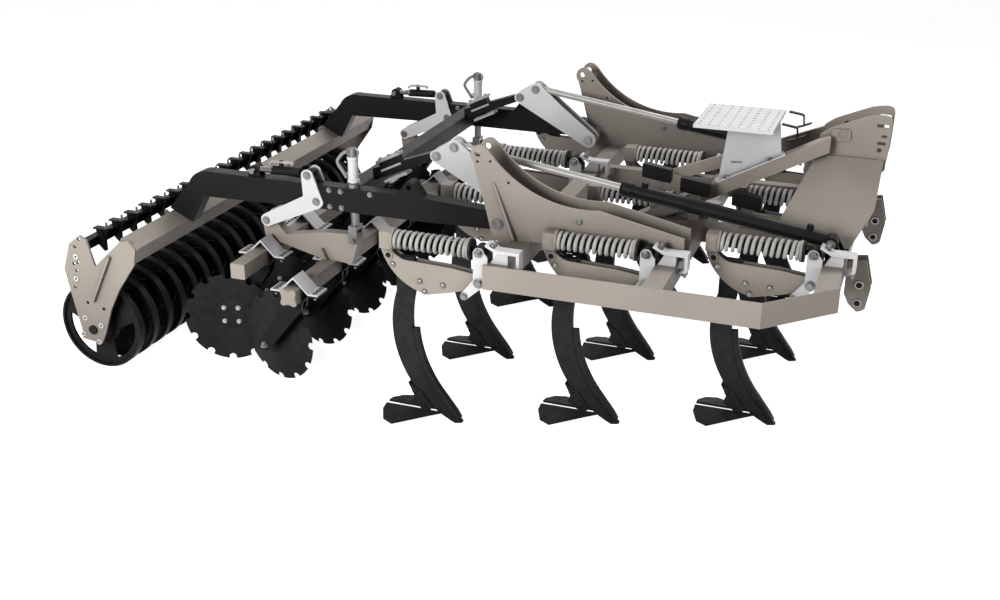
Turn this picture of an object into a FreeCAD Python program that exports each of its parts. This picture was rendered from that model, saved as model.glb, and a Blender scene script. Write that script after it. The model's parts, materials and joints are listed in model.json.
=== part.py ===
import FreeCAD, Part
import math
import os
import Sketcher

# A mounted no-till cultivator, three metres wide.
# +X is the way it is pulled, +Y its left side, +Z up; the floor is z = 0.
# Distances named back are measured rearwards from the lower hitch pins.

# Driving dimensions: name, value in millimetres or degrees, what it measures
SIZES = [
    ("fit", 0.3, "clearance between pieces that are slid together"),
    ("run", 2, "clearance beside a piece that turns"),
    ("lane_pitch", 270, "sideways distance between neighbouring tine lanes"),
    ("row_pitch", 757, "distance between the cross beams"),
    ("beam_front_back", 120, "front cross beam behind the hitch pins"),
    ("beam_size", 100, "outside of the square cross beams"),
    ("beam_wall", 8, "wall of the cross beams"),
    ("beam_top", 910, "height of the cross beams' top face"),
    ("side_room", 50, "side plates outside the outermost tine lanes"),
    ("side_plate_thick", 10, "thickness of the side plates"),
    ("side_plate_tall", 125, "height of the side plates"),
    ("side_plate_tail", 19, "side plates behind the rear beam"),
    ("side_plate_bend_back", 370, "bend of the side plates behind the hitch pins"),
    ("side_plate_nose_back", 58, "front end of the side plates"),
    ("side_plate_nose_y", 1085, "inner face of the side plates at their front end"),
    ("rail_wide", 70, "width of the frame rails"),
    ("arm_shift", 7, "lift arms inwards of the middle between two tine lanes"),
    ("tall_gap", 142, "clear space between the two tall plates of a pair"),
    ("tall_thick", 12, "thickness of the tall plates"),
    ("pivot_behind", 131, "lift arm pivot behind the rear beam"),
    ("pivot_rise", 72, "lift arm pivot above the beams"),
    ("pivot_radius", 25, "radius of the pivot shafts"),
    ("boss_radius", 46, "radius of the bosses on the pivot shafts"),
    ("tip_back", 218, "tine tip behind its cross beam"),
    ("tine_pivot_back", 96, "tine pivot behind its cross beam"),
    ("tine_pivot_drop", 104, "tine pivots below the beams' top face"),
    ("spring_rise", 156, "trip springs above the tine pivots"),
    ("spring_front_back", 152, "front end of the trip springs behind the beam"),
    ("spring_long", 405, "length of the trip springs"),
    ("spring_radius", 50, "outer radius of the trip springs"),
    ("spring_groove", 9, "depth between the spring's turns"),
    ("unit_half", 42, "outer face of a tine unit's bracket plates"),
    ("bracket_thick", 10, "thickness of the bracket plates"),
    ("bracket_half", 28, "half the width of a bracket plate"),
    ("stop_run", 75, "stop pin of a tine arm behind its pivot"),
    ("stop_drop", 80, "stop pin of a tine arm below its pivot"),
    ("strap_wide", 60, "width of the beam straps"),
    ("strap_thick", 16, "thickness of the beam straps"),
    ("strap_rise", 70, "top of the beam straps above the beams"),
    ("strap_reach", 56, "beam straps ahead of the beams"),
    ("cheek_thick", 12, "thickness of the tine arms' cheeks"),
    ("yoke_long", 60, "front to back size of the spring yokes"),
    ("leg_thick", 30, "thickness of the tine legs"),
    ("leg_wide", 96, "front to back size of the tine legs"),
    ("leg_rear_bend", 568, "bend radius of the tine legs' rear edge"),
    ("leg_front_bend", 662, "bend radius of the tine legs' front edge"),
    ("leg_top_z", 880, "height of the tine legs' upper end"),
    ("share_thick", 12, "thickness of the shares' wings"),
    ("wing_reach", 163, "sideways reach of a share's wing"),
    ("wing_z", 52, "height of the shares' wings"),
    ("lift_arm_wide", 80, "width of the lift arms"),
    ("cross_run", 855, "cross tube behind the lift arm pivot"),
    ("cross_rise", 32, "cross tube above the lift arm pivot"),
    ("cross_size", 90, "outside of the cross tube"),
    ("rocker_shift", 15, "cylinders outwards of the middle between two tine lanes"),
    ("rocker_gap", 66, "clear space between the two plates of a rocker"),
    ("rocker_thick", 12, "thickness of the rocker plates"),
    ("rocker_pin_run", 346, "rod pin behind the lift arm pivot"),
    ("rocker_pin_rise", 287, "rod pin above the lift arm pivot"),
    ("strut_pin_run", 447, "depth strut pin behind the lift arm pivot"),
    ("strut_pin_rise", 229, "depth strut pin above the lift arm pivot"),
    ("pin_radius", 14, "radius of the pins"),
    ("ram_pin_behind", 30, "cylinders' front pin behind the front beam"),
    ("ram_pin_rise", 75, "cylinders' front pin above the beams"),
    ("ram_radius", 38, "outer radius of the cylinders"),
    ("rod_radius", 20, "radius of the cylinder rods"),
    ("eye_play", 2, "clearance of the rod's eye round its pin"),
    ("ram_long", 1078, "cylinder barrels from their front pin to their open end"),
    ("ring_radius", 250, "radius of the roller rings"),
    ("ring_pitch", 140, "distance between the roller rings"),
    ("ring_wide", 46, "width of a roller ring's rim"),
    ("ring_rim", 12, "thickness of a roller ring's rim"),
    ("ring_web", 12, "thickness of a roller ring's spokes"),
    ("ring_open", 207, "outer radius of the openings between a ring's spokes"),
    ("ring_hub", 104, "inner radius of the openings between a ring's spokes"),
    ("roller_tube_radius", 80, "radius of the roller tube"),
    ("stub_radius", 25, "radius of the roller's stub shafts"),
    ("end_room", 51, "roller's end plates beside the outermost rings"),
    ("end_plate_thick", 14, "thickness of the roller's end plates"),
    ("roller_behind", 645, "roller axle behind the rear discs' hubs"),
    ("roller_beam_ahead", 261, "roller beam ahead of the roller axle"),
    ("roller_beam_rise", 484, "roller beam above the roller axle"),
    ("roller_beam_size", 110, "outside of the roller beam"),
    ("roller_beam_tilt", 25.6, "tilt of the roller beam in degrees"),
    ("scraper_behind", 35, "scraper bar behind the roller axle"),
    ("scraper_rise", 470, "scraper bar above the roller axle"),
    ("disc_radius", 250, "radius of the notched discs"),
    ("disc_dish", 38, "depth of the discs' dish"),
    ("disc_flat", 90, "radius of the discs' flat middle"),
    ("disc_thick", 6, "thickness of the discs"),
    ("notch_radius", 21, "radius of the notches in the discs"),
    ("hub_radius", 48, "radius of the disc hubs"),
    ("axle_radius", 18, "radius of the disc axles"),
    ("disc_angle", 17, "angle of the discs to the way of travel in degrees"),
    ("disc_pitch", 475, "sideways distance between discs of one row"),
    ("disc_beam_size", 80, "outside of the disc beams"),
    ("disc_beam_long", 2820, "length of the disc beams"),
    ("disc_front_run", 149, "front disc beam behind the gang's front pin"),
    ("disc_front_drop", 174, "front disc beam below the gang's front pin"),
    ("disc_rear_run", 489, "rear disc beam behind the gang's front pin"),
    ("disc_rear_drop", 109, "rear disc beam below the gang's front pin"),
    ("disc_hub_back", 205, "disc hubs behind their beam"),
    ("disc_front_room", 14, "front discs' lowest edge above the floor"),
    ("disc_rear_room", 40, "rear discs' lowest edge above the floor"),
    ("stalk_offset", 66, "sideways distance from a disc to its stalk"),
    ("stalk_thick", 68, "width over the two bars of a disc stalk"),
    ("stalk_bar", 14, "thickness of a stalk's bars"),
    ("saddle_wide", 110, "sideways width of the saddles on the disc beams"),
    ("saddle_thick", 8, "thickness of the saddles"),
    ("saddle_flange", 45, "front and rear flanges of the saddles"),
    ("gang_arm_wide", 60, "width of the curved gang arms"),
    ("gang_pin_run", 836, "gang's front pin behind the lift arm pivot"),
    ("gang_pin_drop", 213, "gang's front pin below the lift arm pivot"),
    ("stop_lug_run", 503, "lug on the lift arms behind their pivot"),
    ("stop_lug_rise", 120, "hole in that lug above the pivot"),
    ("elbow_run", 201, "elbow pin of the cranks behind the gang's front pin"),
    ("elbow_drop", 16, "elbow pin of the cranks below the lift arm pivot"),
    ("crank_rise", 140, "cranks' upper pin above the elbow pin"),
    ("crank_lean", 48, "cranks' upper pin behind the elbow pin"),
    ("crank_run", 310, "cranks' lower pin behind the elbow pin"),
    ("crank_drop", 142, "cranks' lower pin below the elbow pin"),
    ("crank_half", 35, "half the width of a crank's ends"),
    ("crank_thick", 10, "thickness of the crank plates"),
    ("link_run", 330, "turnbuckles' rear pin behind the cranks' upper pin"),
    ("link_drop", 12, "turnbuckles' rear pin below the cranks' upper pin"),
    ("link_eye_wide", 36, "width of the turnbuckles' eyes"),
    ("link_radius", 24, "radius of the turnbuckles"),
    ("spindle_radius", 22, "radius of the gang spindles"),
    ("spindle_rise", 288, "gang spindles' top above the lift arm pivot"),
    ("hitch_y", 520, "middle of the lower hitch plates"),
    ("hitch_gap", 64, "clear space between two hitch plates"),
    ("hitch_thick", 16, "thickness of the hitch plates"),
    ("hitch_reach", 58, "hitch plates ahead of their bores"),
    ("hitch_drop", 276, "lower hitch bores below the beams' top face"),
    ("hitch_step", 98, "upper hitch bores above the lower ones"),
    ("hitch_bore", 14.35, "radius of the lower hitch bores"),
    ("mast_gap", 200, "clear space between the mast plates"),
    ("mast_thick", 14, "thickness of the mast plates"),
    ("mast_crown", 184, "mast's top above the top link bore"),
    ("top_link_rise", 672, "top link bore above the lower hitch bores"),
    ("top_link_back", 5, "top link bore behind the lower hitch pins"),
    ("top_link_bore", 12.75, "radius of the top link bore"),
    ("strut_wide", 60, "width of the mast struts"),
    ("strut_splay", 17, "angle between a mast strut and the way of travel in degrees"),
    ("sheet_thick", 4, "thickness of the step's sheet"),
    ("step_z", 1450, "height of the step"),
]


class Size:
    """A number together with the expression that the document keeps for it."""

    def __init__(self, value, text):
        self.value = value
        self.text = text

    def __add__(self, other):
        other = as_size(other)
        return Size(self.value + other.value, f"({self.text} + {other.text})")

    def __sub__(self, other):
        other = as_size(other)
        return Size(self.value - other.value, f"({self.text} - {other.text})")

    def __mul__(self, other):
        other = as_size(other)
        return Size(self.value * other.value, f"({self.text} * {other.text})")

    def __truediv__(self, other):
        other = as_size(other)
        return Size(self.value / other.value, f"({self.text} / {other.text})")

    def __rsub__(self, other):
        return as_size(other) - self

    def __neg__(self):
        return as_size(0) - self

    __radd__ = __add__
    __rmul__ = __mul__


def as_size(number):
    """Return a number as a Size, and a Size as it is."""
    if isinstance(number, Size):
        return number
    return Size(float(number), f"({float(number):.6f})")


def root(size):
    """Return the square root of a Size."""
    return Size(math.sqrt(size.value), f"sqrt({size.text})")


def sine(degrees):
    """Return the sine of a Size in degrees."""
    return Size(math.sin(math.radians(degrees.value)), f"sin({degrees.text} * 1 deg)")


def cosine(degrees):
    """Return the cosine of a Size in degrees."""
    return Size(math.cos(math.radians(degrees.value)), f"cos({degrees.text} * 1 deg)")


class Dimensions:
    """The sheet's cells by name, each as a Size."""

    def __init__(self, table):
        for alias, value, _ in table:
            setattr(self, alias, Size(float(value), f"Dims.{alias}"))


doc = FreeCAD.newDocument("Cultivator")
sheet = doc.addObject("Spreadsheet::Sheet", "Dims")
for line, (alias, value, note) in enumerate(SIZES, start=1):
    sheet.set(f"A{line}", note)
    sheet.set(f"B{line}", str(value))
    sheet.setAlias(f"B{line}", alias)
doc.recompute()
D = Dimensions(SIZES)

# Places that follow from the driving dimensions
beam_backs = {
    "front": D.beam_front_back,
    "middle": D.beam_front_back + D.row_pitch,
    "rear": D.beam_front_back + D.row_pitch * 2,
}
beam_z = D.beam_top - D.beam_size / 2
beam_bottom = D.beam_top - D.beam_size
side_plate_y = D.lane_pitch * 5 + D.side_room
side_plate_back = beam_backs["rear"] + D.beam_size / 2 + D.side_plate_tail
rail_y = D.lane_pitch * 1.5
tall_y = D.lane_pitch * 3.5 - D.arm_shift
rocker_y = D.lane_pitch * 2.5 + D.rocker_shift
pivot_back = beam_backs["rear"] + D.pivot_behind
pivot_z = D.beam_top + D.pivot_rise
tine_pivot_z = D.beam_top - D.tine_pivot_drop
spring_z = tine_pivot_z + D.spring_rise
cross_back = pivot_back + D.cross_run
cross_z = pivot_z + D.cross_rise
rocker_pin_back = pivot_back + D.rocker_pin_run
rocker_pin_z = pivot_z + D.rocker_pin_rise
strut_pin_back = pivot_back + D.strut_pin_run
strut_pin_z = pivot_z + D.strut_pin_rise
ram_pin_back = D.beam_front_back + D.ram_pin_behind
ram_pin_z = D.beam_top + D.ram_pin_rise
gang_pin_back = pivot_back + D.gang_pin_run
gang_pin_z = pivot_z - D.gang_pin_drop
disc_front_back = gang_pin_back + D.disc_front_run
disc_front_z = gang_pin_z - D.disc_front_drop
disc_rear_back = gang_pin_back + D.disc_rear_run
disc_rear_z = gang_pin_z - D.disc_rear_drop
crank_elbow_back = gang_pin_back + D.elbow_run
crank_elbow_z = pivot_z - D.elbow_drop
crank_top_back = crank_elbow_back + D.crank_lean
crank_top_z = crank_elbow_z + D.crank_rise
crank_low_back = crank_elbow_back + D.crank_run
crank_low_z = crank_elbow_z - D.crank_drop
link_lug_back = crank_top_back + D.link_run
link_lug_z = crank_top_z - D.link_drop
stop_lug_back = pivot_back + D.stop_lug_run
stop_lug_z = pivot_z + D.stop_lug_rise
spindle_top_z = pivot_z + D.spindle_rise
roller_back = disc_rear_back + D.disc_hub_back + D.roller_behind
roller_beam_back = roller_back - D.roller_beam_ahead
roller_beam_z = D.ring_radius + D.roller_beam_rise
scraper_back = roller_back + D.scraper_behind
scraper_z = D.ring_radius + D.scraper_rise
end_plate_y = D.ring_pitch * 10 + D.ring_wide / 2 + D.end_room
hitch_z = D.beam_top - D.hitch_drop
top_link_z = hitch_z + D.top_link_rise
mast_top_z = top_link_z + D.mast_crown

# The hitch pins lie this far ahead of the origin, so that the origin is under the middle
HITCH_X = (roller_back + D.ring_radius - D.hitch_reach) / 2


def at(back):
    """Return the x of a place measured rearwards from the hitch pins."""
    return HITCH_X - back


def bind(thing, prop, size):
    """Let a property follow the sheet."""
    thing.setExpression(prop, as_size(size).text)


def place(thing, x=0, y=0, z=0):
    """Let a piece's place follow the sheet."""
    for letter, size in zip("xyz", (x, y, z)):
        bind(thing, f".Placement.Base.{letter}", size)


def turn(thing, axis, degrees):
    """Turn a piece about an axis through its own origin."""
    degrees = as_size(degrees)
    thing.Placement = FreeCAD.Placement(
        FreeCAD.Vector(0, 0, 0), FreeCAD.Rotation(FreeCAD.Vector(*axis), degrees.value))
    bind(thing, ".Placement.Rotation.Angle", degrees)


def new_sketch(body, role):
    """Add a sketch on one of a body's origin planes."""
    sketch = body.newObject("Sketcher::SketchObject", body.Name + "_sketch")
    for feature in body.Origin.OriginFeatures:
        if feature.Role == role:
            sketch.AttachmentSupport = (feature, [""])
    sketch.MapMode = "FlatFace"
    return sketch


def pin_point(sketch, geometry, end, x, y):
    """Fix one point of a sketch to sizes of the sheet."""
    for kind, size in (("DistanceX", as_size(x)), ("DistanceY", as_size(y))):
        index = sketch.addConstraint(Sketcher.Constraint(kind, -1, 1, geometry, end, size.value))
        bind(sketch, f"Constraints[{index}]", size)


def arc_between(start, finish, radius):
    """Return an arc from start to finish, to the left for a positive radius."""
    middle = (start + finish) * 0.5
    along = finish - start
    half = along.Length / 2
    rise = math.sqrt(max(radius * radius - half * half, 0.0))
    side = FreeCAD.Vector(-along.y, along.x, 0).normalize()
    sign = 1 if radius > 0 else -1
    centre = middle + side * (rise * sign)
    circle = Part.Circle(centre, FreeCAD.Vector(0, 0, 1), abs(radius))
    first, last = (start, finish) if sign > 0 else (finish, start)
    begin = math.atan2(first.y - centre.y, first.x - centre.x)
    end = math.atan2(last.y - centre.y, last.x - centre.x)
    if end < begin:
        end += 2 * math.pi
    return Part.ArcOfCircle(circle, begin, end)


def draw(sketch, corners):
    """Draw a closed outline of corners (x, y) or (x, y, radius of the edge that follows)."""
    spots = [FreeCAD.Vector(as_size(c[0]).value, as_size(c[1]).value, 0) for c in corners]
    bends = [as_size(c[2]) if len(c) > 2 else None for c in corners]
    edges = []
    for index, bend in enumerate(bends):
        start = spots[index]
        finish = spots[(index + 1) % len(spots)]
        if bend is None:
            edges.append((sketch.addGeometry(Part.LineSegment(start, finish), False), 1, 2))
        else:
            arc = sketch.addGeometry(arc_between(start, finish, bend.value), False)
            edges.append((arc, 1, 2) if bend.value > 0 else (arc, 2, 1))
    for index, (edge, _, tail) in enumerate(edges):
        following, head, _ = edges[(index + 1) % len(edges)]
        sketch.addConstraint(Sketcher.Constraint("Coincident", edge, tail, following, head))
    for (edge, head, _), corner, bend in zip(edges, corners, bends):
        pin_point(sketch, edge, head, corner[0], corner[1])
        if bend is not None:
            size = bend if bend.value > 0 else -bend
            index = sketch.addConstraint(Sketcher.Constraint("Radius", edge, size.value))
            bind(sketch, f"Constraints[{index}]", size)


def draw_circle(sketch, x, y, radius):
    """Draw a circle whose place and size follow the sheet."""
    radius = as_size(radius)
    centre = FreeCAD.Vector(as_size(x).value, as_size(y).value, 0)
    circle = sketch.addGeometry(Part.Circle(centre, FreeCAD.Vector(0, 0, 1), radius.value), False)
    pin_point(sketch, circle, 3, x, y)
    index = sketch.addConstraint(Sketcher.Constraint("Radius", circle, radius.value))
    bind(sketch, f"Constraints[{index}]", radius)


def pad(body, sketch, length):
    """Thicken a sketch to both sides of its plane."""
    feature = body.newObject("PartDesign::Pad", body.Name + "_pad")
    feature.Profile = sketch
    feature.SideType = "Symmetric"
    bind(feature, "Length", length)
    body.Tip = feature


def plate(name, corners, thick, holes=(), windows=(), role="XZ_Plane"):
    """Make a flat piece with round holes (x, y, radius) and windows (lists of corners)."""
    body = doc.addObject("PartDesign::Body", name)
    sketch = new_sketch(body, role)
    draw(sketch, corners)
    for hole in holes:
        draw_circle(sketch, *hole)
    for window in windows:
        draw(sketch, window)
    pad(body, sketch, thick)
    return body


def disc(name, radius, thick, holes=(), role="XZ_Plane"):
    """Make a round flat piece, by default across the y axis."""
    body = doc.addObject("PartDesign::Body", name)
    sketch = new_sketch(body, role)
    draw_circle(sketch, 0, 0, radius)
    for hole in holes:
        draw_circle(sketch, *hole)
    pad(body, sketch, thick)
    return body


def revolved(name, corners, role="XZ_Plane", axis="V_Axis"):
    """Turn an outline of corners about one of its sketch's axes."""
    body = doc.addObject("PartDesign::Body", name)
    sketch = new_sketch(body, role)
    draw(sketch, corners)
    feature = body.newObject("PartDesign::Revolution", name + "_revolution")
    feature.Profile = sketch
    feature.ReferenceAxis = (sketch, [axis])
    body.Tip = feature
    return body


def nose(half):
    """Return the radius of an edge that rounds off an end, given half the end's width."""
    return half * 1.01


def rectangle(wide, tall, x=0, y=0):
    """Return the corners of a rectangle about a point."""
    return [(x - wide / 2, y - tall / 2), (x + wide / 2, y - tall / 2),
            (x + wide / 2, y + tall / 2), (x - wide / 2, y + tall / 2)]


def copies(name, source, places):
    """Set copies of a piece at (x, y, z) places and return them as one piece."""
    links = []
    for index, (x, y, z) in enumerate(places):
        link = doc.addObject("App::Link", f"{name}_{index}")
        link.LinkedObject = source
        rotation = source.Placement.Rotation
        link.Placement = FreeCAD.Placement(FreeCAD.Vector(0, 0, 0), rotation)
        place(link, x, y, z)
        links.append(link)
    return gather(name, links)


def gather(name, pieces):
    """Keep pieces that don't touch as one sub-part."""
    group = doc.addObject("Part::Compound", name)
    group.Links = pieces
    return group


def fuse(name, pieces):
    """Weld pieces into one solid."""
    group = doc.addObject("Part::MultiFuse", name)
    group.Shapes = pieces
    group.Refine = True
    return group


def cut(name, base, tool):
    """Take one piece out of another."""
    result = doc.addObject("Part::Cut", name)
    result.Base = base
    result.Tool = tool
    return result


def mirror(name, source):
    """Make the other side's piece."""
    other = doc.addObject("Part::Mirroring", name)
    other.Source = source
    other.Normal = FreeCAD.Vector(0, 1, 0)
    return other


nodes = []


def node(thing, name):
    """Name a finished sub-part and list it for writing."""
    thing.Label = name
    nodes.append(thing)
    return thing


def sided(name, left):
    """List a left piece and its mirror image as two sub-parts."""
    node(left, name + "_left")
    node(mirror(left.Name + "_mirrored", left), name + "_right")


def paired(name, left):
    """List a left piece with its mirror image as one sub-part."""
    node(gather(name + "_both", [left, mirror(left.Name + "_mirrored", left)]), name)


# Cross beams


def box_tube(name, size, wall, length):
    """Make a square tube along the y axis."""
    inside = size - wall * 2
    return plate(name, rectangle(size, size), length, windows=[rectangle(inside, inside)])


for row in ("middle", "rear"):
    beam = box_tube(f"beam_{row}", D.beam_size, D.beam_wall, side_plate_y * 2)
    place(beam, at(beam_backs[row]), 0, beam_z)
    node(beam, f"cross_beam_{row}")

# The front beam's ends are mitred along the bent side plates
nose_run = D.side_plate_bend_back - D.side_plate_nose_back
nose_slope = (side_plate_y - D.side_plate_nose_y) / nose_run


def mitred(name, half_wide, tall):
    """Make a block across the machine whose ends follow the bent side plates."""
    front_back = D.beam_front_back - half_wide
    rear_back = D.beam_front_back + half_wide
    front_y = D.side_plate_nose_y + (front_back - D.side_plate_nose_back) * nose_slope - D.fit
    rear_y = D.side_plate_nose_y + (rear_back - D.side_plate_nose_back) * nose_slope - D.fit
    block = plate(name, [
        (at(rear_back), -rear_y),
        (at(front_back), -front_y),
        (at(front_back), front_y),
        (at(rear_back), rear_y),
    ], tall, role="XY_Plane")
    place(block, 0, 0, beam_z)
    return block


front_beam = cut("front_beam", mitred("front_beam_block", D.beam_size / 2, D.beam_size),
                 mitred("front_beam_hollow", D.beam_size / 2 - D.beam_wall,
                        D.beam_size - D.beam_wall * 2))
node(front_beam, "cross_beam_front")

# Side plates, bent inwards ahead of the middle beam

side_inner = side_plate_y
side_outer = side_plate_y + D.side_plate_thick
nose_outer = D.side_plate_nose_y + D.side_plate_thick
side_plate = plate("side_plate", [
    (at(side_plate_back), side_inner),
    (at(D.side_plate_bend_back), side_inner),
    (at(D.side_plate_nose_back), D.side_plate_nose_y),
    (at(D.side_plate_nose_back), nose_outer),
    (at(D.side_plate_bend_back), side_outer),
    (at(side_plate_back), side_outer),
], D.side_plate_tall, role="XY_Plane")
place(side_plate, 0, 0, D.beam_top - D.side_plate_tall / 2)
paired("side_plates", side_plate)

# Frame rails between the beams

rail_long = D.row_pitch - D.beam_size
rail = plate("rail", rectangle(rail_long, D.beam_size), D.rail_wide)
rail_places = []
for back in (beam_backs["front"] + D.row_pitch / 2, beam_backs["middle"] + D.row_pitch / 2):
    for side in (-1, 1):
        rail_places.append((at(back), rail_y * side, beam_z))
node(copies("rails", rail, rail_places), "frame_rails")

# Tall plates, which stand on the rear and middle beams and carry the lift arms

tall_half = (D.tall_gap + D.tall_thick) / 2
tall_nose_back = pivot_back + 108
tall_nose_z = pivot_z + 355
tall_front_back = beam_backs["middle"] - 65
tall = plate("tall", [
    (at(tall_front_back), D.beam_top),
    (at(tall_front_back), pivot_z + 43),
    (at(pivot_back - 523), pivot_z + 132, -620),
    (at(pivot_back + 50), pivot_z + 375),
    (at(tall_nose_back - 30), tall_nose_z + 42, 50),
    (at(tall_nose_back + 24), tall_nose_z - 40),
    (at(pivot_back + 57), pivot_z + 47),
    (at(pivot_back + 22), D.beam_top - 20, 60),
    (at(pivot_back - 30), D.beam_top - 48),
    (at(beam_backs["rear"] + D.beam_size / 2 + D.fit), D.beam_top - 48),
    (at(beam_backs["rear"] + D.beam_size / 2 + D.fit), D.beam_top),
], D.tall_thick, holes=[
    (at(pivot_back), pivot_z, D.pivot_radius + D.fit),
    (at(tall_nose_back), tall_nose_z, as_size(16)),
])
tall_pair = copies("tall_pair", tall, [
    (0, tall_y - tall_half, 0), (0, tall_y + tall_half, 0)])
paired("tall_plates", tall_pair)

# Pivot shafts, through the tall plates and inwards through the rockers

rocker_plate_y = (D.rocker_gap + D.rocker_thick) / 2
shaft_inner = rocker_y - rocker_plate_y - D.rocker_thick / 2 - 12
shaft_outer = tall_y + tall_half + D.tall_thick / 2 + 4
shaft = disc("shaft", D.pivot_radius, shaft_outer - shaft_inner)
place(shaft, at(pivot_back), (shaft_outer + shaft_inner) / 2, pivot_z)
paired("pivot_shafts", shaft)

# Headstock: two mast plates, two leaning side plates and two hitch clevises

beam_front_x = at(D.beam_front_back) + D.beam_size / 2
mast_y = (D.mast_gap + D.mast_thick) / 2
mast_plate = plate("mast_plate", [
    (at(D.beam_front_back + 50), D.beam_top),
    (at(D.beam_front_back - 50), D.beam_top),
    (at(D.top_link_back - 45), top_link_z - 50),
    (at(D.top_link_back - 50), mast_top_z - 25, -40),
    (at(D.top_link_back + 10), mast_top_z),
    (at(D.top_link_back + 70), mast_top_z - 12),
    (at(D.top_link_back + 250), mast_top_z - 89),
    (at(D.top_link_back + 305), mast_top_z - 130),
    (at(D.top_link_back + 305), top_link_z - 50),
], D.mast_thick, holes=[
    (at(D.top_link_back), top_link_z, D.top_link_bore),
    (at(D.top_link_back + 186), top_link_z + 70, as_size(17)),
])
node(copies("mast_plates", mast_plate, [(0, -mast_y, 0), (0, mast_y, 0)]), "mast_plates")

flare_lean = as_size(52)
flare_top_z = top_link_z - 40
flare_long = (flare_top_z - D.beam_top) / cosine(flare_lean)
flare = plate("flare", [
    (at(D.beam_front_back - 50), -flare_long + 8),
    (at(D.top_link_back - 25), -flare_long * 0.55),
    (at(D.top_link_back - 30), -14),
    (at(D.top_link_back + 305), -14),
    (at(D.top_link_back + 425), -flare_long * 0.75),
    (at(D.top_link_back + 425), -flare_long + 8),
], as_size(10))
turn(flare, (1, 0, 0), flare_lean)
place(flare, 0, mast_y + D.mast_thick / 2 + 8, flare_top_z)
paired("headstock_plates", flare)

hitch_plate = plate("hitch_plate", [
    (beam_front_x, hitch_z + 43),
    (at(44), hitch_z - 9),
    (at(0), hitch_z - 47, 55),
    (at(-42), hitch_z - 24),
    (at(-D.hitch_reach), hitch_z + 88),
    (at(-22), hitch_z + 229),
    (beam_front_x, hitch_z + 217),
], D.hitch_thick, holes=[
    (at(0), hitch_z, D.hitch_bore),
    (at(0), hitch_z + D.hitch_step, D.hitch_bore),
])
hitch_half = (D.hitch_gap + D.hitch_thick) / 2
hitch_places = []
for side in (-1, 1):
    for half in (-1, 1):
        hitch_places.append((0, (D.hitch_y + hitch_half * half) * side, 0))
node(copies("hitch_plates", hitch_plate, hitch_places), "hitch_plates")

# Struts from the middle beam up to the mast, set in a V

mast_outer_y = mast_y + D.mast_thick / 2
strut_x = at(D.top_link_back + 250)
strut_reach = D.row_pitch + D.beam_front_back + 20
strut = plate("strut", [
    (-strut_reach + 60, D.beam_top + D.fit),
    (as_size(0), top_link_z - 22),
    (as_size(0), top_link_z + 60),
    (-strut_reach - 100, D.beam_top + D.fit),
], D.strut_wide)
turn(strut, (0, 0, 1), -D.strut_splay)
place(strut, strut_x, mast_outer_y + D.strut_wide / 2 * cosine(D.strut_splay) + D.fit, 0)
paired("mast_struts", strut)

# Step on the near strut: a sheet on a web with a flange at its foot

strut_slope = (top_link_z + 60 - D.beam_top - D.fit) / (strut_reach + 100)


def strut_top(run):
    """Return the height of the strut's top edge a way down from the mast."""
    return top_link_z + 60 - strut_slope * run


step_under = D.step_z - D.sheet_thick
step_web = plate("step_web", [
    (as_size(-557), strut_top(557) + 4),
    (as_size(-240), strut_top(240) + 4),
    (as_size(-262), step_under),
    (as_size(-520), step_under),
], as_size(8))
step_foot = plate("step_foot", [
    (as_size(-572), strut_top(572) + D.fit),
    (as_size(-225), strut_top(225) + D.fit),
    (as_size(-225), strut_top(225) + 9),
    (as_size(-572), strut_top(572) + 9),
], D.strut_wide)
step_stand = fuse("step_stand", [step_web, step_foot])
step_turned = copies("step_turned", step_stand, [(0, 0, 0)])
turn(step_turned, (0, 0, 1), -D.strut_splay)
place(step_turned, strut_x, mast_outer_y + D.strut_wide / 2 * cosine(D.strut_splay) + D.fit, 0)
step_sheet = plate("step_sheet", rectangle(as_size(402), as_size(460)), D.sheet_thick,
                   role="XY_Plane")
place(step_sheet, at(706), 251, step_under + D.sheet_thick / 2 - D.fit)
node(mirror("step", fuse("step_left", [step_turned, step_sheet])), "step_platform")

# Tine units: a bracket and strap on the beam, a swinging arm held by a spring, a curved leg

# Lanes: row, places in lane pitches from the middle
LANES = [
    ("front", (-3, 0, 3)),
    ("middle", (-4, -1, 2, 5)),
    ("rear", (-5, -2, 1, 4)),
]
unit_places = []
for row, lanes in LANES:
    for lane in lanes:
        unit_places.append((at(beam_backs[row]), D.lane_pitch * lane, 0))


def unit_copies(name, pieces):
    """Repeat pieces of one tine unit on every lane, listed as one sub-part."""
    group = gather(name + "_one", pieces) if len(pieces) > 1 else pieces[0]
    node(copies(name + "_all", group, unit_places), name)


def apart(name, source, half):
    """Set two copies of a piece at equal distances from the middle."""
    return copies(name, source, [(0, -half, 0), (0, half, 0)])


tine_pivot_x = -D.tine_pivot_back
beam_rear_face = -D.beam_size / 2
bracket_y = D.unit_half - D.bracket_thick / 2
bracket_rear = tine_pivot_x - D.bracket_half
stop_x = tine_pivot_x - D.stop_run
stop_z = tine_pivot_z - D.stop_drop
bracket = plate("bracket", [
    (bracket_rear, tine_pivot_z + 12),
    (stop_x - 14.6, stop_z + 13.7, nose(20.1)),
    (stop_x + 14.6, stop_z - 13.7),
    (tine_pivot_x + D.bracket_half, tine_pivot_z - 14),
    (beam_rear_face - D.fit, tine_pivot_z + 20),
    (beam_rear_face - D.fit, spring_z - 20),
    (tine_pivot_x + D.bracket_half, spring_z, nose(D.bracket_half)),
    (bracket_rear, spring_z),
], D.bracket_thick, holes=[
    (tine_pivot_x, tine_pivot_z, D.pin_radius + D.fit),
    (tine_pivot_x, spring_z, D.pin_radius + D.fit),
])
unit_copies("tine_brackets", [apart("bracket_pair", bracket, bracket_y)])

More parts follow.
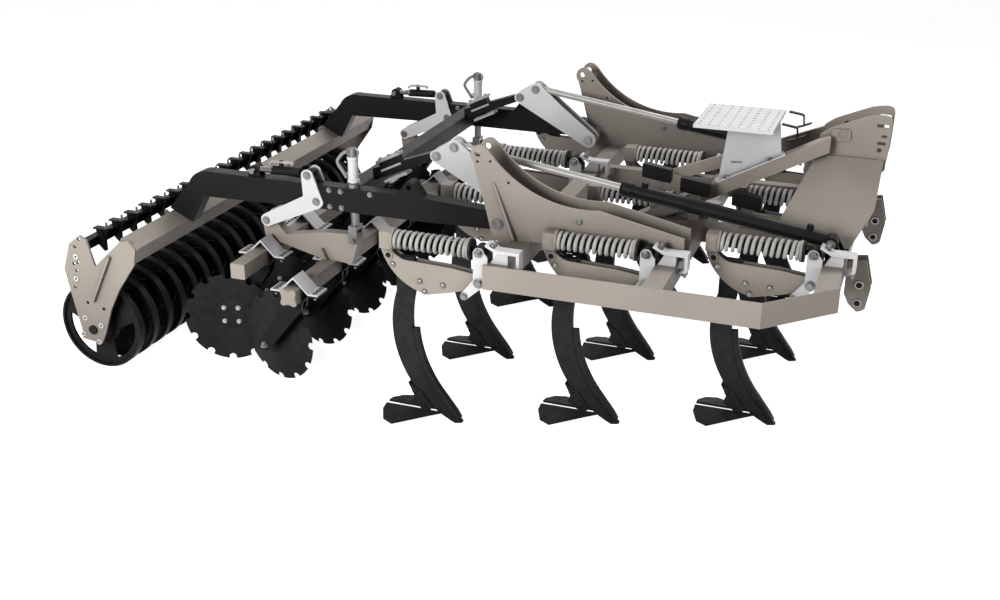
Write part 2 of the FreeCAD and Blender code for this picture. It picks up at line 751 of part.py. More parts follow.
strap_top = D.beam_top + D.strap_rise
strap_low = strap_top - D.strap_thick
strap_front = -beam_rear_face + D.strap_reach
strap_bar = plate("strap_bar", [
    (-beam_rear_face + 4, beam_bottom + 70),
    (strap_front - D.strap_thick, beam_bottom + 88),
    (strap_front - D.strap_thick, strap_low),
    (beam_rear_face + 40, strap_low),
    (beam_rear_face - 20, strap_low + 31),
    (beam_rear_face - 12, strap_low + 44),
    (beam_rear_face + 45, strap_top),
    (strap_front, strap_top),
    (strap_front, beam_bottom + 80),
    (-beam_rear_face + 12, beam_bottom + 58),
], D.strap_wide)
strap_seat = plate("strap_seat", [
    (beam_rear_face + 8, D.beam_top + D.fit),
    (-beam_rear_face - 4, D.beam_top + D.fit),
    (-beam_rear_face - 4, strap_low + 2),
    (beam_rear_face + 42, strap_low + 2),
], D.strap_wide - 16)
strap = fuse("strap", [strap_bar, strap_seat])
unit_copies("beam_straps", [strap])

tine_pin = disc("tine_pin", D.pin_radius, D.unit_half * 2 + 12)
stop_pin = disc("stop_pin", D.pin_radius, (D.unit_half - D.bracket_thick - D.fit) * 2)
place(stop_pin, stop_x, 0, stop_z)
unit_copies("tine_pins", [stop_pin, copies("tine_pin_pair", tine_pin, [
    (tine_pivot_x, 0, tine_pivot_z), (tine_pivot_x, 0, spring_z)])])

spring_rear_x = -(D.spring_front_back + D.spring_long)
spring_bottom = spring_z - D.spring_radius
cheek = plate("cheek", [
    (tine_pivot_x, tine_pivot_z - 34, nose(34)),
    (tine_pivot_x, tine_pivot_z + 34),
    (tine_pivot_x - 150, tine_pivot_z + 52),
    (spring_rear_x + 90, tine_pivot_z + 60, -110),
    (spring_rear_x, spring_bottom - 4),
    (spring_rear_x, spring_z + 30),
    (spring_rear_x - D.yoke_long, spring_z + 30),
    (spring_rear_x - D.yoke_long, spring_z - 40, 300),
    (spring_rear_x + 190, tine_pivot_z - 106),
    (tine_pivot_x - 150, tine_pivot_z - 78),
], D.cheek_thick, holes=[
    (tine_pivot_x, tine_pivot_z, D.pin_radius + D.fit),
])
cheek_y = (D.leg_thick + D.cheek_thick) / 2 + D.fit
yoke = plate("yoke", rectangle(D.yoke_long, D.spring_radius * 1.7), D.unit_half * 2)
place(yoke, spring_rear_x - D.yoke_long / 2, 0, spring_z)
unit_copies("tine_arms", [fuse("arm", [apart("cheek_pair", cheek, cheek_y), yoke])])

SPRING_TURNS = 11
spring_half = D.spring_long / 2 - D.fit
spring_step = spring_half * 2 / SPRING_TURNS
spring_outline = [(-spring_half, as_size(0)), (spring_half, as_size(0))]
for index in range(SPRING_TURNS):
    crest = spring_half - spring_step * index
    spring_outline.append((crest, D.spring_radius))
    spring_outline.append((crest - spring_step * 0.6, D.spring_radius - D.spring_groove))
spring_outline.append((-spring_half, D.spring_radius))
spring = revolved("spring", spring_outline, axis="H_Axis")
spring_unit = copies("spring_set", spring, [
    (spring_rear_x + D.spring_long / 2, 0, spring_z)])
unit_copies("trip_springs", [spring_unit])

spring_eye = disc("spring_eye", as_size(30), (D.unit_half - D.bracket_thick - D.fit) * 2)
place(spring_eye, tine_pivot_x, 0, spring_z)
spring_cup = disc("spring_cup", D.spring_radius + 3, as_size(14), role="YZ_Plane")
place(spring_cup, -D.spring_front_back + 7, 0, spring_z)
eye_hole = disc("eye_hole", D.pin_radius + D.fit, D.unit_half * 3)
place(eye_hole, tine_pivot_x, 0, spring_z)
spring_stem = disc("spring_stem", as_size(16), D.spring_front_back - D.tine_pivot_back,
                   role="YZ_Plane")
place(spring_stem, -(D.spring_front_back + D.tine_pivot_back) / 2, 0, spring_z)
seat_body = fuse("seat_body", [spring_eye, spring_cup, spring_stem])
unit_copies("spring_seats", [cut("spring_seat", seat_body, eye_hole)])

# Tine legs, shares and points

leg = plate("leg", [
    (-D.tip_back + 24, as_size(8)),
    (-D.tip_back - 70, as_size(104), -D.leg_front_bend),
    (-D.tip_back - 226, tine_pivot_z - 112),
    (-D.tip_back - 226, D.leg_top_z),
    (-D.tip_back - 226 - D.leg_wide, D.leg_top_z),
    (-D.tip_back - 226 - D.leg_wide, tine_pivot_z - 112, D.leg_rear_bend),
    (-D.tip_back - 15, as_size(0)),
], D.leg_thick)
unit_copies("tine_legs", [leg])

share = plate("share", [
    (-D.tip_back - 85, D.leg_thick / 2 + 2),
    (-D.tip_back - 394, D.leg_thick / 2 + 2),
    (-D.tip_back - 394, D.wing_reach - 96),
    (-D.tip_back - 363, D.wing_reach - 26),
    (-D.tip_back - 307, D.wing_reach),
    (-D.tip_back - 140, D.leg_thick / 2 + 36),
], D.share_thick, role="XY_Plane")
turn(share, (1, 0, 0), -12)
share_left = copies("share_left", share, [(0, 0, D.wing_z)])
share_right = mirror("share_right", share_left)
unit_copies("share_wings", [share_left, share_right])

# Lift arms, cross tube and rockers

arm_top = pivot_z + 75
arm_bottom = pivot_z - 56
lift_arm = plate("lift_arm", [
    (at(pivot_back), pivot_z - D.boss_radius, nose(D.boss_radius)),
    (at(pivot_back), pivot_z + D.boss_radius),
    (at(pivot_back + 400), arm_top - 4),
    (at(stop_lug_back - 70), arm_top - 2),
    (at(stop_lug_back - 28), stop_lug_z + 14, nose(31.4)),
    (at(stop_lug_back + 28), stop_lug_z + 14),
    (at(stop_lug_back + 70), arm_top),
    (at(roller_beam_back - 227), arm_top, 130),
    (at(roller_beam_back - 94), pivot_z + 6),
    (at(roller_beam_back + 46), roller_beam_z + 83.3),
    (at(roller_beam_back - 94), roller_beam_z + 16.3),
    (at(roller_beam_back - 181), pivot_z - 70),
    (at(gang_pin_back + 164), arm_bottom),
    (at(pivot_back + 400), arm_bottom),
], D.lift_arm_wide, holes=[
    (at(pivot_back), pivot_z, D.pivot_radius + D.fit),
    (at(stop_lug_back), stop_lug_z, D.pin_radius),
    (at(crank_elbow_back), crank_elbow_z, D.pin_radius + D.fit),
])
place(lift_arm, 0, tall_y, 0)
spindle_hole = disc("spindle_hole", D.spindle_radius + D.run, pivot_z, role="XY_Plane")
place(spindle_hole, at(gang_pin_back), tall_y, pivot_z)
lift_arm_drilled = cut("lift_arm_drilled", lift_arm, spindle_hole)
link_lug = plate("link_lug", [
    (at(link_lug_back - 40), arm_top - 10),
    (at(link_lug_back - 26), link_lug_z + 10, nose(28)),
    (at(link_lug_back + 26), link_lug_z + 10),
    (at(link_lug_back + 40), arm_top - 10),
], as_size(10), holes=[(at(link_lug_back), link_lug_z, D.pin_radius + D.fit)])
link_lug_half = D.link_eye_wide / 2 + D.fit + 5
link_lugs = copies("link_lugs", link_lug, [
    (0, tall_y - link_lug_half, 0), (0, tall_y + link_lug_half, 0)])
lift_arm_whole = fuse("lift_arm_whole", [lift_arm_drilled, link_lugs])
paired("lift_arms", lift_arm_whole)

cross_long = (tall_y - D.lift_arm_wide / 2) * 2
cross = box_tube("cross", D.cross_size, as_size(8), cross_long)
place(cross, at(cross_back), 0, cross_z)
node(cross, "cross_tube")

rocker_plate = plate("rocker_plate", [
    (at(pivot_back + 20), pivot_z - D.boss_radius + 5, D.boss_radius),
    (at(pivot_back - 30), pivot_z + D.boss_radius - 10),
    (at(rocker_pin_back - 32), rocker_pin_z + 22, 38),
    (at(rocker_pin_back + 30), rocker_pin_z + 25),
    (at(strut_pin_back + 30), strut_pin_z + 20, 36),
    (at(strut_pin_back + 20), strut_pin_z - 30),
], D.rocker_thick, holes=[
    (at(pivot_back), pivot_z, D.pivot_radius + D.fit),
    (at(rocker_pin_back), rocker_pin_z, D.pin_radius + D.fit),
    (at(strut_pin_back), strut_pin_z, D.pin_radius + D.fit),
])
rocker_pair = copies("rocker_pair", rocker_plate, [
    (0, rocker_y - rocker_plate_y, 0), (0, rocker_y + rocker_plate_y, 0)])
paired("rockers", rocker_pair)

rocker_pin = disc("rocker_pin", D.pin_radius, D.rocker_gap + D.rocker_thick * 2 + 20)
rocker_pin_set = copies("rocker_pin_set", rocker_pin, [
    (at(rocker_pin_back), rocker_y, rocker_pin_z),
    (at(strut_pin_back), rocker_y, strut_pin_z)])
paired("rocker_pins", rocker_pin_set)

depth_strut = plate("depth_strut", [
    (at(strut_pin_back - 5), strut_pin_z + 24, -nose(24.6)),
    (at(strut_pin_back + 5), strut_pin_z - 24),
    (at(cross_back - 85), cross_z + 40),
    (at(cross_back - D.cross_size / 2), cross_z + 20),
    (at(cross_back - D.cross_size / 2), cross_z + D.cross_size / 2),
    (at(cross_back - 30), cross_z + D.cross_size / 2 + D.fit),
    (at(cross_back - 30), cross_z + 85),
], D.rocker_gap - D.run * 2, holes=[
    (at(strut_pin_back), strut_pin_z, D.pin_radius + D.fit),
])
place(depth_strut, 0, rocker_y, 0)
paired("depth_struts", depth_strut)

# Lift cylinders, from the front beam to the rockers

ram_run = rocker_pin_back - ram_pin_back
ram_rise = rocker_pin_z - ram_pin_z
ram_span = root(ram_run * ram_run + ram_rise * ram_rise)
ram_tilt = Size(math.degrees(math.atan2(ram_rise.value, ram_run.value)),
                f"atan({ram_rise.text} / {ram_run.text}) / 1 deg")

lug_gap = D.ram_radius * 2 + 4
ram_lug = plate("ram_lug", [
    (at(D.beam_front_back + 50), D.beam_top),
    (at(D.beam_front_back - 50), D.beam_top),
    (at(ram_pin_back - 30), ram_pin_z + 8, 34),
    (at(ram_pin_back + 30), ram_pin_z + 8),
], as_size(12), holes=[(at(ram_pin_back), ram_pin_z, D.pin_radius + D.fit)])
lug_half = lug_gap / 2 + 6
lug_places = []
pin_places = []
for side in (-1, 1):
    for half in (-1, 1):
        lug_places.append((0, (rocker_y + lug_half * half) * side, 0))
    pin_places.append((at(ram_pin_back), rocker_y * side, ram_pin_z))
node(copies("ram_lugs", ram_lug, lug_places), "cylinder_lugs")
ram_pin = disc("ram_pin", D.pin_radius, lug_gap + 40)
node(copies("ram_pins", ram_pin, pin_places), "cylinder_pins")


def along_ram(name, pieces, start):
    """Lay pieces made along +X from the front pin on the cylinder's line."""
    piece = fuse(name + "_line", pieces) if len(pieces) > 1 else pieces[0]
    link = doc.addObject("Part::Compound", name)
    link.Links = [piece]
    link.Placement = FreeCAD.Placement(
        FreeCAD.Vector(0, 0, 0), FreeCAD.Rotation(FreeCAD.Vector(0, 1, 0), 180 + ram_tilt.value))
    bind(link, ".Placement.Rotation.Angle", ram_tilt + 180)
    place(link, start[0], start[1], start[2])
    return link


barrel_start = D.boss_radius - 10
barrel_profile = revolved("barrel_profile", [
    (barrel_start - 12, as_size(0)),
    (D.ram_long, as_size(0)),
    (D.ram_long, D.ram_radius - 4),
    (D.ram_long - 18, D.ram_radius + 4),
    (D.ram_long - 62, D.ram_radius + 4),
    (D.ram_long - 70, D.ram_radius),
    (barrel_start - 12, D.ram_radius),
], axis="H_Axis")
ram_ports = copies("ram_ports", disc("ram_port", as_size(17), as_size(26), role="XY_Plane"), [
    (D.ram_long - 120, 0, -D.ram_radius - 8), (barrel_start + 80, 0, -D.ram_radius - 8)])
ram_eye = disc("ram_eye", as_size(34), D.ram_radius * 2)
barrel_solid = fuse("barrel_solid", [barrel_profile, ram_eye, ram_ports])
barrel_bore = revolved("barrel_bore", [
    (barrel_start + 60, as_size(0)),
    (D.ram_long + 1, as_size(0)),
    (D.ram_long + 1, D.rod_radius + D.fit),
    (barrel_start + 60, D.rod_radius + D.fit),
], axis="H_Axis")
barrel_hollow = cut("barrel_hollow", barrel_solid, barrel_bore)
ram_eye_hole = disc("ram_eye_hole", D.pin_radius + D.fit, D.ram_radius * 4)
barrel_open = cut("barrel_open", barrel_hollow, ram_eye_hole)
barrel_left = along_ram("barrel_left", [barrel_open], (at(ram_pin_back), rocker_y, ram_pin_z))
sided("cylinder_barrel", barrel_left)

rod_profile = revolved("rod_profile", [
    (barrel_start + 340, as_size(0)),
    (ram_span - 24, as_size(0)),
    (ram_span - 24, D.rod_radius),
    (barrel_start + 340, D.rod_radius),
], axis="H_Axis")
rod_eye = disc("rod_eye", as_size(32), D.rocker_gap - D.run * 2)
place(rod_eye, ram_span, 0, 0)
rod_solid = fuse("rod_solid", [rod_profile, rod_eye])
rod_hole = disc("rod_hole", D.pin_radius + D.eye_play, D.rocker_gap * 2)
place(rod_hole, ram_span, 0, 0)
rod_open = cut("rod_open", rod_solid, rod_hole)
rod_left = along_ram("rod_left", [rod_open], (at(ram_pin_back), rocker_y, ram_pin_z))
sided("cylinder_rod", rod_left)

# Roller beam, its end plates, and the scrapers behind the roller

roller_beam = box_tube("roller_beam_tube", D.roller_beam_size, as_size(8), end_plate_y * 2)
turn(roller_beam, (0, 1, 0), D.roller_beam_tilt)
place(roller_beam, at(roller_beam_back), 0, roller_beam_z)
node(roller_beam, "roller_beam")

# Open holes of an end plate: behind the axle, above the axle
END_PLATE_HOLES = [
    (25, 523),
    (54, 477),
    (75, 376),
    (48, 386),
    (62, 338),
    (85, 241),
    (16, 157),
    (-83, 134),
]
end_plate = plate("end_plate", [
    (at(roller_back - 44), D.ring_radius - 79),
    (at(roller_back - 76), D.ring_radius - 13),
    (at(roller_back - 128), D.ring_radius + 132),
    (at(roller_back - 195), D.ring_radius + 259),
    (at(roller_back - 308), D.ring_radius + 418),
    (at(roller_back - 325), D.ring_radius + 505),
    (at(roller_back - 281), D.ring_radius + 549),
    (at(roller_back - 237), D.ring_radius + 544),
    (at(roller_back - 59), D.ring_radius + 378),
    (at(roller_back - 22), D.ring_radius + 521),
    (at(roller_back + 19), D.ring_radius + 544),
    (at(roller_back + 91), D.ring_radius + 489),
    (at(roller_back + 142), D.ring_radius + 338),
    (at(roller_back + 115), D.ring_radius + 189),
    (at(roller_back + 74), D.ring_radius - 19),
    (at(roller_back + 80), D.ring_radius - 63),
], D.end_plate_thick, holes=[(at(roller_back), D.ring_radius, D.stub_radius + D.fit)] + [
    (at(roller_back + behind), D.ring_radius + rise, as_size(10))
    for behind, rise in END_PLATE_HOLES])
place(end_plate, 0, end_plate_y + D.end_plate_thick / 2, 0)
rib = plate("end_plate_rib", [
    (at(roller_back - 36), D.ring_radius + 173),
    (at(roller_back - 26), D.ring_radius + 178),
    (at(roller_back - 162), D.ring_radius + 453),
    (at(roller_back - 172), D.ring_radius + 448),
], as_size(24))
place(rib, 0, end_plate_y + D.end_plate_thick + 10, 0)
paired("roller_end_plates", fuse("end_plate_ribbed", [end_plate, rib]))

scraper_bar = plate("scraper_bar", rectangle(as_size(50), as_size(50)), end_plate_y * 2)
place(scraper_bar, at(scraper_back), 0, scraper_z)
scraper_tine = plate("scraper_tine", [
    (as_size(25), as_size(-25)),
    (as_size(60), as_size(-60)),
    (as_size(60), as_size(40)),
    (as_size(40), as_size(70)),
    (as_size(25), as_size(25)),
], as_size(30))
scraper_places = []
for index in range(20):
    scraper_places.append((at(scraper_back), D.ring_pitch * (index - 9.5), scraper_z))
scraper_set = copies("scraper_set", scraper_tine, scraper_places)
node(fuse("scraper_comb", [scraper_bar, scraper_set]), "scraper_comb")

# Ring roller

rim = revolved("rim", [
    (D.ring_radius - D.ring_rim, -D.ring_wide / 2 + 3),
    (D.ring_radius, -D.ring_wide / 2),
    (D.ring_radius, D.ring_wide / 2),
    (D.ring_radius - D.ring_rim, D.ring_wide / 2 - 3),
], role="XY_Plane", axis="V_Axis")


def polar(radius, degrees):
    """Return a point of the ring's plane from its radius and its angle."""
    return (radius * math.cos(math.radians(degrees)), radius * math.sin(math.radians(degrees)))


ring_windows = []
for index in range(3):
    middle = 120 * index + 90
    ring_windows.append([
        (*polar(D.ring_hub, middle + 26), -D.ring_hub),
        polar(D.ring_hub, middle - 26),
        (*polar(D.ring_open, middle - 41), D.ring_open),
        polar(D.ring_open, middle + 41),
    ])
web = doc.addObject("PartDesign::Body", "web")
web_sketch = new_sketch(web, "XZ_Plane")
draw_circle(web_sketch, 0, 0, D.ring_radius - D.ring_rim / 2)
for window in ring_windows:
    draw(web_sketch, window)
pad(web, web_sketch, D.ring_web)
wheel = fuse("wheel", [rim, web])
ring_places = []
for index in range(21):
    ring_places.append((at(roller_back), D.ring_pitch * (index - 10), D.ring_radius))
ring_set = copies("ring_set", wheel, ring_places)
roller_tube = disc("roller_tube", D.roller_tube_radius, end_plate_y * 2 - D.run * 6)
place(roller_tube, at(roller_back), 0, D.ring_radius)
stubs = disc("stubs", D.stub_radius, end_plate_y * 2 + D.end_plate_thick * 2 + 20)
place(stubs, at(roller_back), 0, D.ring_radius)
node(fuse("ring_roller", [roller_tube, stubs, ring_set]), "ring_roller")

# Disc gang: two curved arms, two beams, stalks, saddles and notched discs

gang_arm = plate("gang_arm", [
    (at(gang_pin_back - 18), gang_pin_z - 41),
    (at(gang_pin_back - 30), gang_pin_z + 10, 30),
    (at(gang_pin_back + 20), gang_pin_z + 28),
    (at(gang_pin_back + 158), gang_pin_z + 23),
    (at(gang_pin_back + 404), gang_pin_z - 21),
    (at(crank_low_back - 34), crank_low_z + 10, nose(36)),
    (at(crank_low_back + 34), crank_low_z - 10),
    (at(disc_rear_back + 40), disc_rear_z + D.disc_beam_size / 2),
    (at(disc_rear_back - 40), disc_rear_z + D.disc_beam_size / 2),
    (at(disc_front_back + 40), disc_front_z + D.disc_beam_size / 2),
    (at(disc_front_back - 40), disc_front_z + D.disc_beam_size / 2),
    (at(gang_pin_back + 16), gang_pin_z - 143),
], D.gang_arm_wide, holes=[
    (at(gang_pin_back), gang_pin_z, D.pin_radius + D.fit),
    (at(crank_low_back), crank_low_z, D.pin_radius + D.fit),
])
place(gang_arm, 0, tall_y, 0)
paired("gang_arms", gang_arm)

# Disc rows: name, beam back, beam height, beam's middle, room under the discs, first stalk,
# disc side of the stalk
DISC_ROWS = [
    ("front", disc_front_back, disc_front_z, -30, D.disc_front_room, -1325, 1),
    ("rear", disc_rear_back, disc_rear_z, 60, D.disc_rear_room, -1050, -1),
]

hub_room = D.stalk_offset - D.stalk_thick / 2
hub_long = (hub_room - D.hub_radius * sine(D.disc_angle) - D.run) / cosine(D.disc_angle)
axle_long = (hub_room - D.axle_radius * sine(D.disc_angle) - D.fit) / cosine(D.disc_angle)
blade = revolved("blade", [
    (as_size(0), -axle_long),
    (D.axle_radius, -axle_long),
    (D.axle_radius, -hub_long),
    (D.hub_radius, -hub_long),
    (D.hub_radius, as_size(0)),
    (D.disc_flat, as_size(0)),
    (D.disc_radius, D.disc_dish),
    (D.disc_radius, D.disc_dish + D.disc_thick),
    (D.disc_flat, D.disc_thick),
    (as_size(0), D.disc_thick),
], role="XY_Plane", axis="V_Axis")
notch = disc("notch", D.notch_radius, (D.disc_dish + D.disc_thick) * 3)
NOTCHES = 12
notch_places = []
for index in range(NOTCHES):
    notch_x, notch_z = polar(D.disc_radius - 6, 360 / NOTCHES * index)
    notch_places.append((notch_x, 0, notch_z))
blade_hub = cut("blade_hub", blade, copies("notches", notch, notch_places))

# Saddles on the disc beams: white roofs above, and below them the stalks' own halves
saddle_in = D.disc_beam_size
saddle_out = saddle_in + D.saddle_thick * math.sqrt(2)
saddle_reach = saddle_out + D.saddle_flange
flange_top = D.saddle_thick + 1
roof_corners = [
    (-saddle_reach, as_size(1)),
    (-saddle_in + 1, as_size(1)),
    (as_size(0), saddle_in),
    (saddle_in - 1, as_size(1)),
    (saddle_reach, as_size(1)),
    (saddle_reach, flange_top),
    (saddle_out - flange_top, flange_top),
    (as_size(0), saddle_out),
    (-saddle_out + flange_top, flange_top),
    (-saddle_reach, flange_top),
]
roof = plate("roof", roof_corners, D.saddle_wide)
trough = plate("trough", [(x, -z) for x, z in roof_corners][::-1], D.saddle_wide)
roof_places = []

for row, back, beam_height, beam_y, room, first, side in DISC_ROWS:
    gang_beam = box_tube(f"gang_beam_{row}", D.disc_beam_size, as_size(6), D.disc_beam_long)
    place(gang_beam, at(back), beam_y, beam_height)
    node(gang_beam, f"disc_beam_{row}")
    hub_height = D.disc_radius + room
    stalk_drop = beam_height - hub_height
    bar = plate(f"bar_{row}", [
        (as_size(34), -saddle_out + 36),
        (as_size(28), -saddle_out - 6),
        (-D.disc_hub_back + 32, -stalk_drop - 20, -nose(37.8)),
        (-D.disc_hub_back - 32, -stalk_drop + 20),
        (as_size(-38), -saddle_out + 40),
    ], D.stalk_bar)
    boss = disc(f"boss_{row}", as_size(24), D.stalk_thick)
    place(boss, -D.disc_hub_back, 0, -stalk_drop)
    stalk = fuse(f"stalk_{row}", [
        trough, boss, apart(f"bars_{row}", bar, (D.stalk_thick - D.stalk_bar) / 2)])
    places = []
    disc_places = []
    for index in range(6):
        lane = as_size(first) + D.disc_pitch * index
        places.append((at(back), lane, beam_height))
        disc_places.append((at(back + D.disc_hub_back), lane + D.stalk_offset * side, hub_height))
    roof_places += places
    node(copies(f"stalks_{row}", stalk, places), f"disc_stalks_{row}")
    for index, spot in enumerate(disc_places):
        body = doc.addObject("App::Link", f"blade_{row}_{index}")
        body.LinkedObject = blade_hub
        turn(body, (0, 0, 1), -D.disc_angle if side > 0 else D.disc_angle + 180)
        place(body, *spot)
        node(gather(f"disc_{row}_{index + 1}", [body]), f"disc_{row}_{index + 1}")

node(copies("roofs", roof, roof_places), "gang_saddles")

# Cranks, turnbuckles and spindles that hold the gang under the lift arms

crank = plate("crank", [
    (at(crank_top_back - D.crank_half), crank_top_z, nose(D.crank_half)),
    (at(crank_top_back + D.crank_half), crank_top_z),
    (at(crank_top_back + D.crank_half - 6), crank_elbow_z + 22),
    (at(crank_low_back + 15), crank_low_z + 32, nose(35.4)),
    (at(crank_low_back - 15), crank_low_z - 32),
    (at(crank_elbow_back - 10), crank_elbow_z - 38, 44),
    (at(crank_elbow_back - 40), crank_elbow_z),
], D.crank_thick, holes=[
    (at(crank_top_back), crank_top_z, D.pin_radius + D.fit),
    (at(crank_elbow_back), crank_elbow_z, D.pin_radius + D.fit),
    (at(crank_low_back), crank_low_z, D.pin_radius + D.fit),
])
crank_y = (D.lift_arm_wide + D.crank_thick) / 2 + D.fit
crank_pair = copies("crank_pair", crank, [
    (0, tall_y - crank_y, 0), (0, tall_y + crank_y, 0)])
paired("gang_cranks", crank_pair)

gang_pin = disc("gang_pin", D.pin_radius, D.lift_arm_wide + D.crank_thick * 2 + 16)
gang_pin_set = copies("gang_pin_set", gang_pin, [
    (at(crank_top_back), tall_y, crank_top_z),
    (at(crank_elbow_back), tall_y, crank_elbow_z),
    (at(crank_low_back), tall_y, crank_low_z),
    (at(gang_pin_back), tall_y, gang_pin_z),
    (at(link_lug_back), tall_y, link_lug_z),
])
paired("gang_pins", gang_pin_set)

# Turnbuckles from the cranks' upper pins to the lugs on the lift arms

link_run = link_lug_back - crank_top_back
link_drop = crank_top_z - link_lug_z
link_span = root(link_run * link_run + link_drop * link_drop)
link_slope = Size(math.degrees(math.atan2(link_drop.value, link_run.value)),
                  f"atan({link_drop.text} / {link_run.text}) / 1 deg")
link_barrel = revolved("link_barrel", [
    (D.link_radius, as_size(0)),
    (link_span - D.link_radius, as_size(0)),
    (link_span - D.link_radius, as_size(11)),
    (link_span - 100, as_size(11)),
    (link_span - 100, D.link_radius),
    (as_size(60), D.link_radius),
    (as_size(60), as_size(11)),
    (D.link_radius, as_size(11)),
], axis="H_Axis")
link_eye = disc("link_eye", D.link_radius + 2, D.link_eye_wide)
link_eyes = copies("link_eyes", link_eye, [(0, 0, 0), (link_span, 0, 0)])
link_whole = fuse("link_whole", [link_barrel, link_eyes])
link_hole = disc("link_hole", D.pin_radius + D.fit, D.link_eye_wide * 2)
link_holes = copies("link_holes", link_hole, [(0, 0, 0), (link_span, 0, 0)])
link_bored = cut("link_bored", link_whole, link_holes)
turnbuckle = gather("turnbuckle", [link_bored])
turn(turnbuckle, (0, 1, 0), 180 - link_slope)
place(turnbuckle, at(crank_top_back), tall_y, crank_top_z)
paired("turnbuckles", turnbuckle)

# Spindles that carry the front of the gang, each with a fork round the gang arm's pin

fork_half = D.gang_arm_wide / 2 + D.fit
fork_top = gang_pin_z + 75
fork_cheek = plate("fork_cheek", [
    (at(gang_pin_back + 24), gang_pin_z, nose(24)),
    (at(gang_pin_back - 24), gang_pin_z),
    (at(gang_pin_back - 24), fork_top),
    (at(gang_pin_back + 24), fork_top),
], as_size(9), holes=[(at(gang_pin_back), gang_pin_z, D.pin_radius + D.fit)])
fork_cheeks = copies("fork_cheeks", fork_cheek, [
    (0, tall_y - fork_half - 4.5, 0), (0, tall_y + fork_half + 4.5, 0)])
fork_bridge = plate("fork_bridge", rectangle(as_size(48), as_size(20)), fork_half * 2)
place(fork_bridge, at(gang_pin_back), tall_y, fork_top - 10)
spindle_post = revolved("spindle_post", [
    (as_size(0), fork_top - 5),
    (D.spindle_radius, fork_top - 5),
    (D.spindle_radius, arm_top + D.fit),
    (D.spindle_radius + 14, arm_top + D.fit),
    (D.spindle_radius + 14, arm_top + 24),
    (D.spindle_radius, arm_top + 24),
    (D.spindle_radius, spindle_top_z),
    (as_size(0), spindle_top_z),
])
place(spindle_post, at(gang_pin_back), tall_y, 0)
spindle = fuse("spindle", [spindle_post, fork_cheeks, fork_bridge])
paired("gang_spindles", spindle)

doc.recompute()

# Check every object before anything is written

faults = []
for thing in doc.Objects:
    if "Invalid" in thing.State or "Error" in thing.State:
        faults.append(f"{thing.Name} is {thing.State}")
for thing in nodes:
    if thing.Shape.isNull() or not thing.Shape.isValid():
        faults.append(f"{thing.Label} has no valid shape")
if faults:
    raise RuntimeError("; ".join(faults))

os.makedirs("parts", exist_ok=True)
for thing in nodes:
    thing.Shape.exportStep(f"parts/{thing.Label}.step")
    print(thing.Label, len(thing.Shape.Solids), round(thing.Shape.Volume / 1e6, 3))
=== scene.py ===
"""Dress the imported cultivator: springs, fasteners, fittings, finishes and a plain studio."""

import json
import math

import bpy
import numpy as np
from mathutils import Matrix, Vector, geometry


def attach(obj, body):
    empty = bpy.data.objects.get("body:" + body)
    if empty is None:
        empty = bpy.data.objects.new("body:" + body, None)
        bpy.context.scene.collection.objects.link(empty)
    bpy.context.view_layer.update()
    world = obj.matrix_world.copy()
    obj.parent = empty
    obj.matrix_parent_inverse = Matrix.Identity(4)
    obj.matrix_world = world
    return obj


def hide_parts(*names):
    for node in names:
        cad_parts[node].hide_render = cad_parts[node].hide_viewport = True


bl_info = {
    "name": "No-till cultivator dressing",
    "version": (1, 0, 0),
    "blender": (4, 5, 0),
    "location": "View3D > Sidebar > Cultivator",
    "description": "Springs, fasteners, finishes and a studio for the packed cultivator",
    "category": "Object",
}

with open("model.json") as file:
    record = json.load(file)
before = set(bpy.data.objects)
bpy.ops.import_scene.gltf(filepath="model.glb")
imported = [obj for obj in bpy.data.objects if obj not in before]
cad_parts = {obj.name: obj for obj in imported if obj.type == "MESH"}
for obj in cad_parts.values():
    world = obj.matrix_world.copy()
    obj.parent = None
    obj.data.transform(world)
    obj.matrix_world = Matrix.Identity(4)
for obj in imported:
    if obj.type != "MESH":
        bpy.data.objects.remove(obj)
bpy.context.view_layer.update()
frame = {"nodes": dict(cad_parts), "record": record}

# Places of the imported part, in millimetres; back is measured rearwards from the hitch pins
HITCH_X = 2066
BEAM_BACKS = {"front": 120, "middle": 877, "rear": 1634}
LANES = (("front", (-3, 0, 3)), ("middle", (-4, -1, 2, 5)), ("rear", (-5, -2, 1, 4)))
LANE_PITCH = 270
BEAM_TOP = 910
ARM_Y = 938
ROCKER_Y = 690
PLATE_HALF = 83
PLATE_THICK = 12
RAIL_Y = 405
RAIL_HALF = 35
BEAM_HALF = 50
TINE_PIVOT = (-96, 806)
SPRING_Z = 962
SPRING_FRONT = -152
SPRING_REAR = -557
DISC_ANGLE = math.radians(17)
SPLAY = math.radians(17)
STALK_OFFSET = 66
DISC_PITCH = 475
# Half of a size in metres, in millimetres
HALF = 500
# Disc rows: name, beam's back and height, first stalk, side of the disc, hub height, beam's ends
DISC_ROWS = (
    ("front", 2750, 595, -1325, 1, 264, (-1440, 1380)),
    ("rear", 3090, 660, -1050, -1, 290, (-1350, 1470)),
)
# Studio: lamps' names, places, widths and watts; the sky's and the floor's own light
LAMPS = (
    ("lamp_key", (-1.6, -7.2, 3.0), 2.6, 410),
    ("lamp_fill", (6.2, -3.0, 2.0), 2.4, 70),
    ("lamp_top", (1.4, 3.0, 5.4), 3.0, 200),
)
SKY_LIGHT = 0.05
FLOOR_GLOW = 0.93


def at(back):
    """Return the x of a place measured rearwards from the hitch pins."""
    return HITCH_X - back


UNITS = np.array([(at(BEAM_BACKS[row]), LANE_PITCH * lane) for row, lanes in LANES
                  for lane in lanes], float)
ARMS = np.array([(0, -ARM_Y), (0, ARM_Y)], float)
ROCKERS = np.array([(0, -ROCKER_Y), (0, ROCKER_Y)], float)


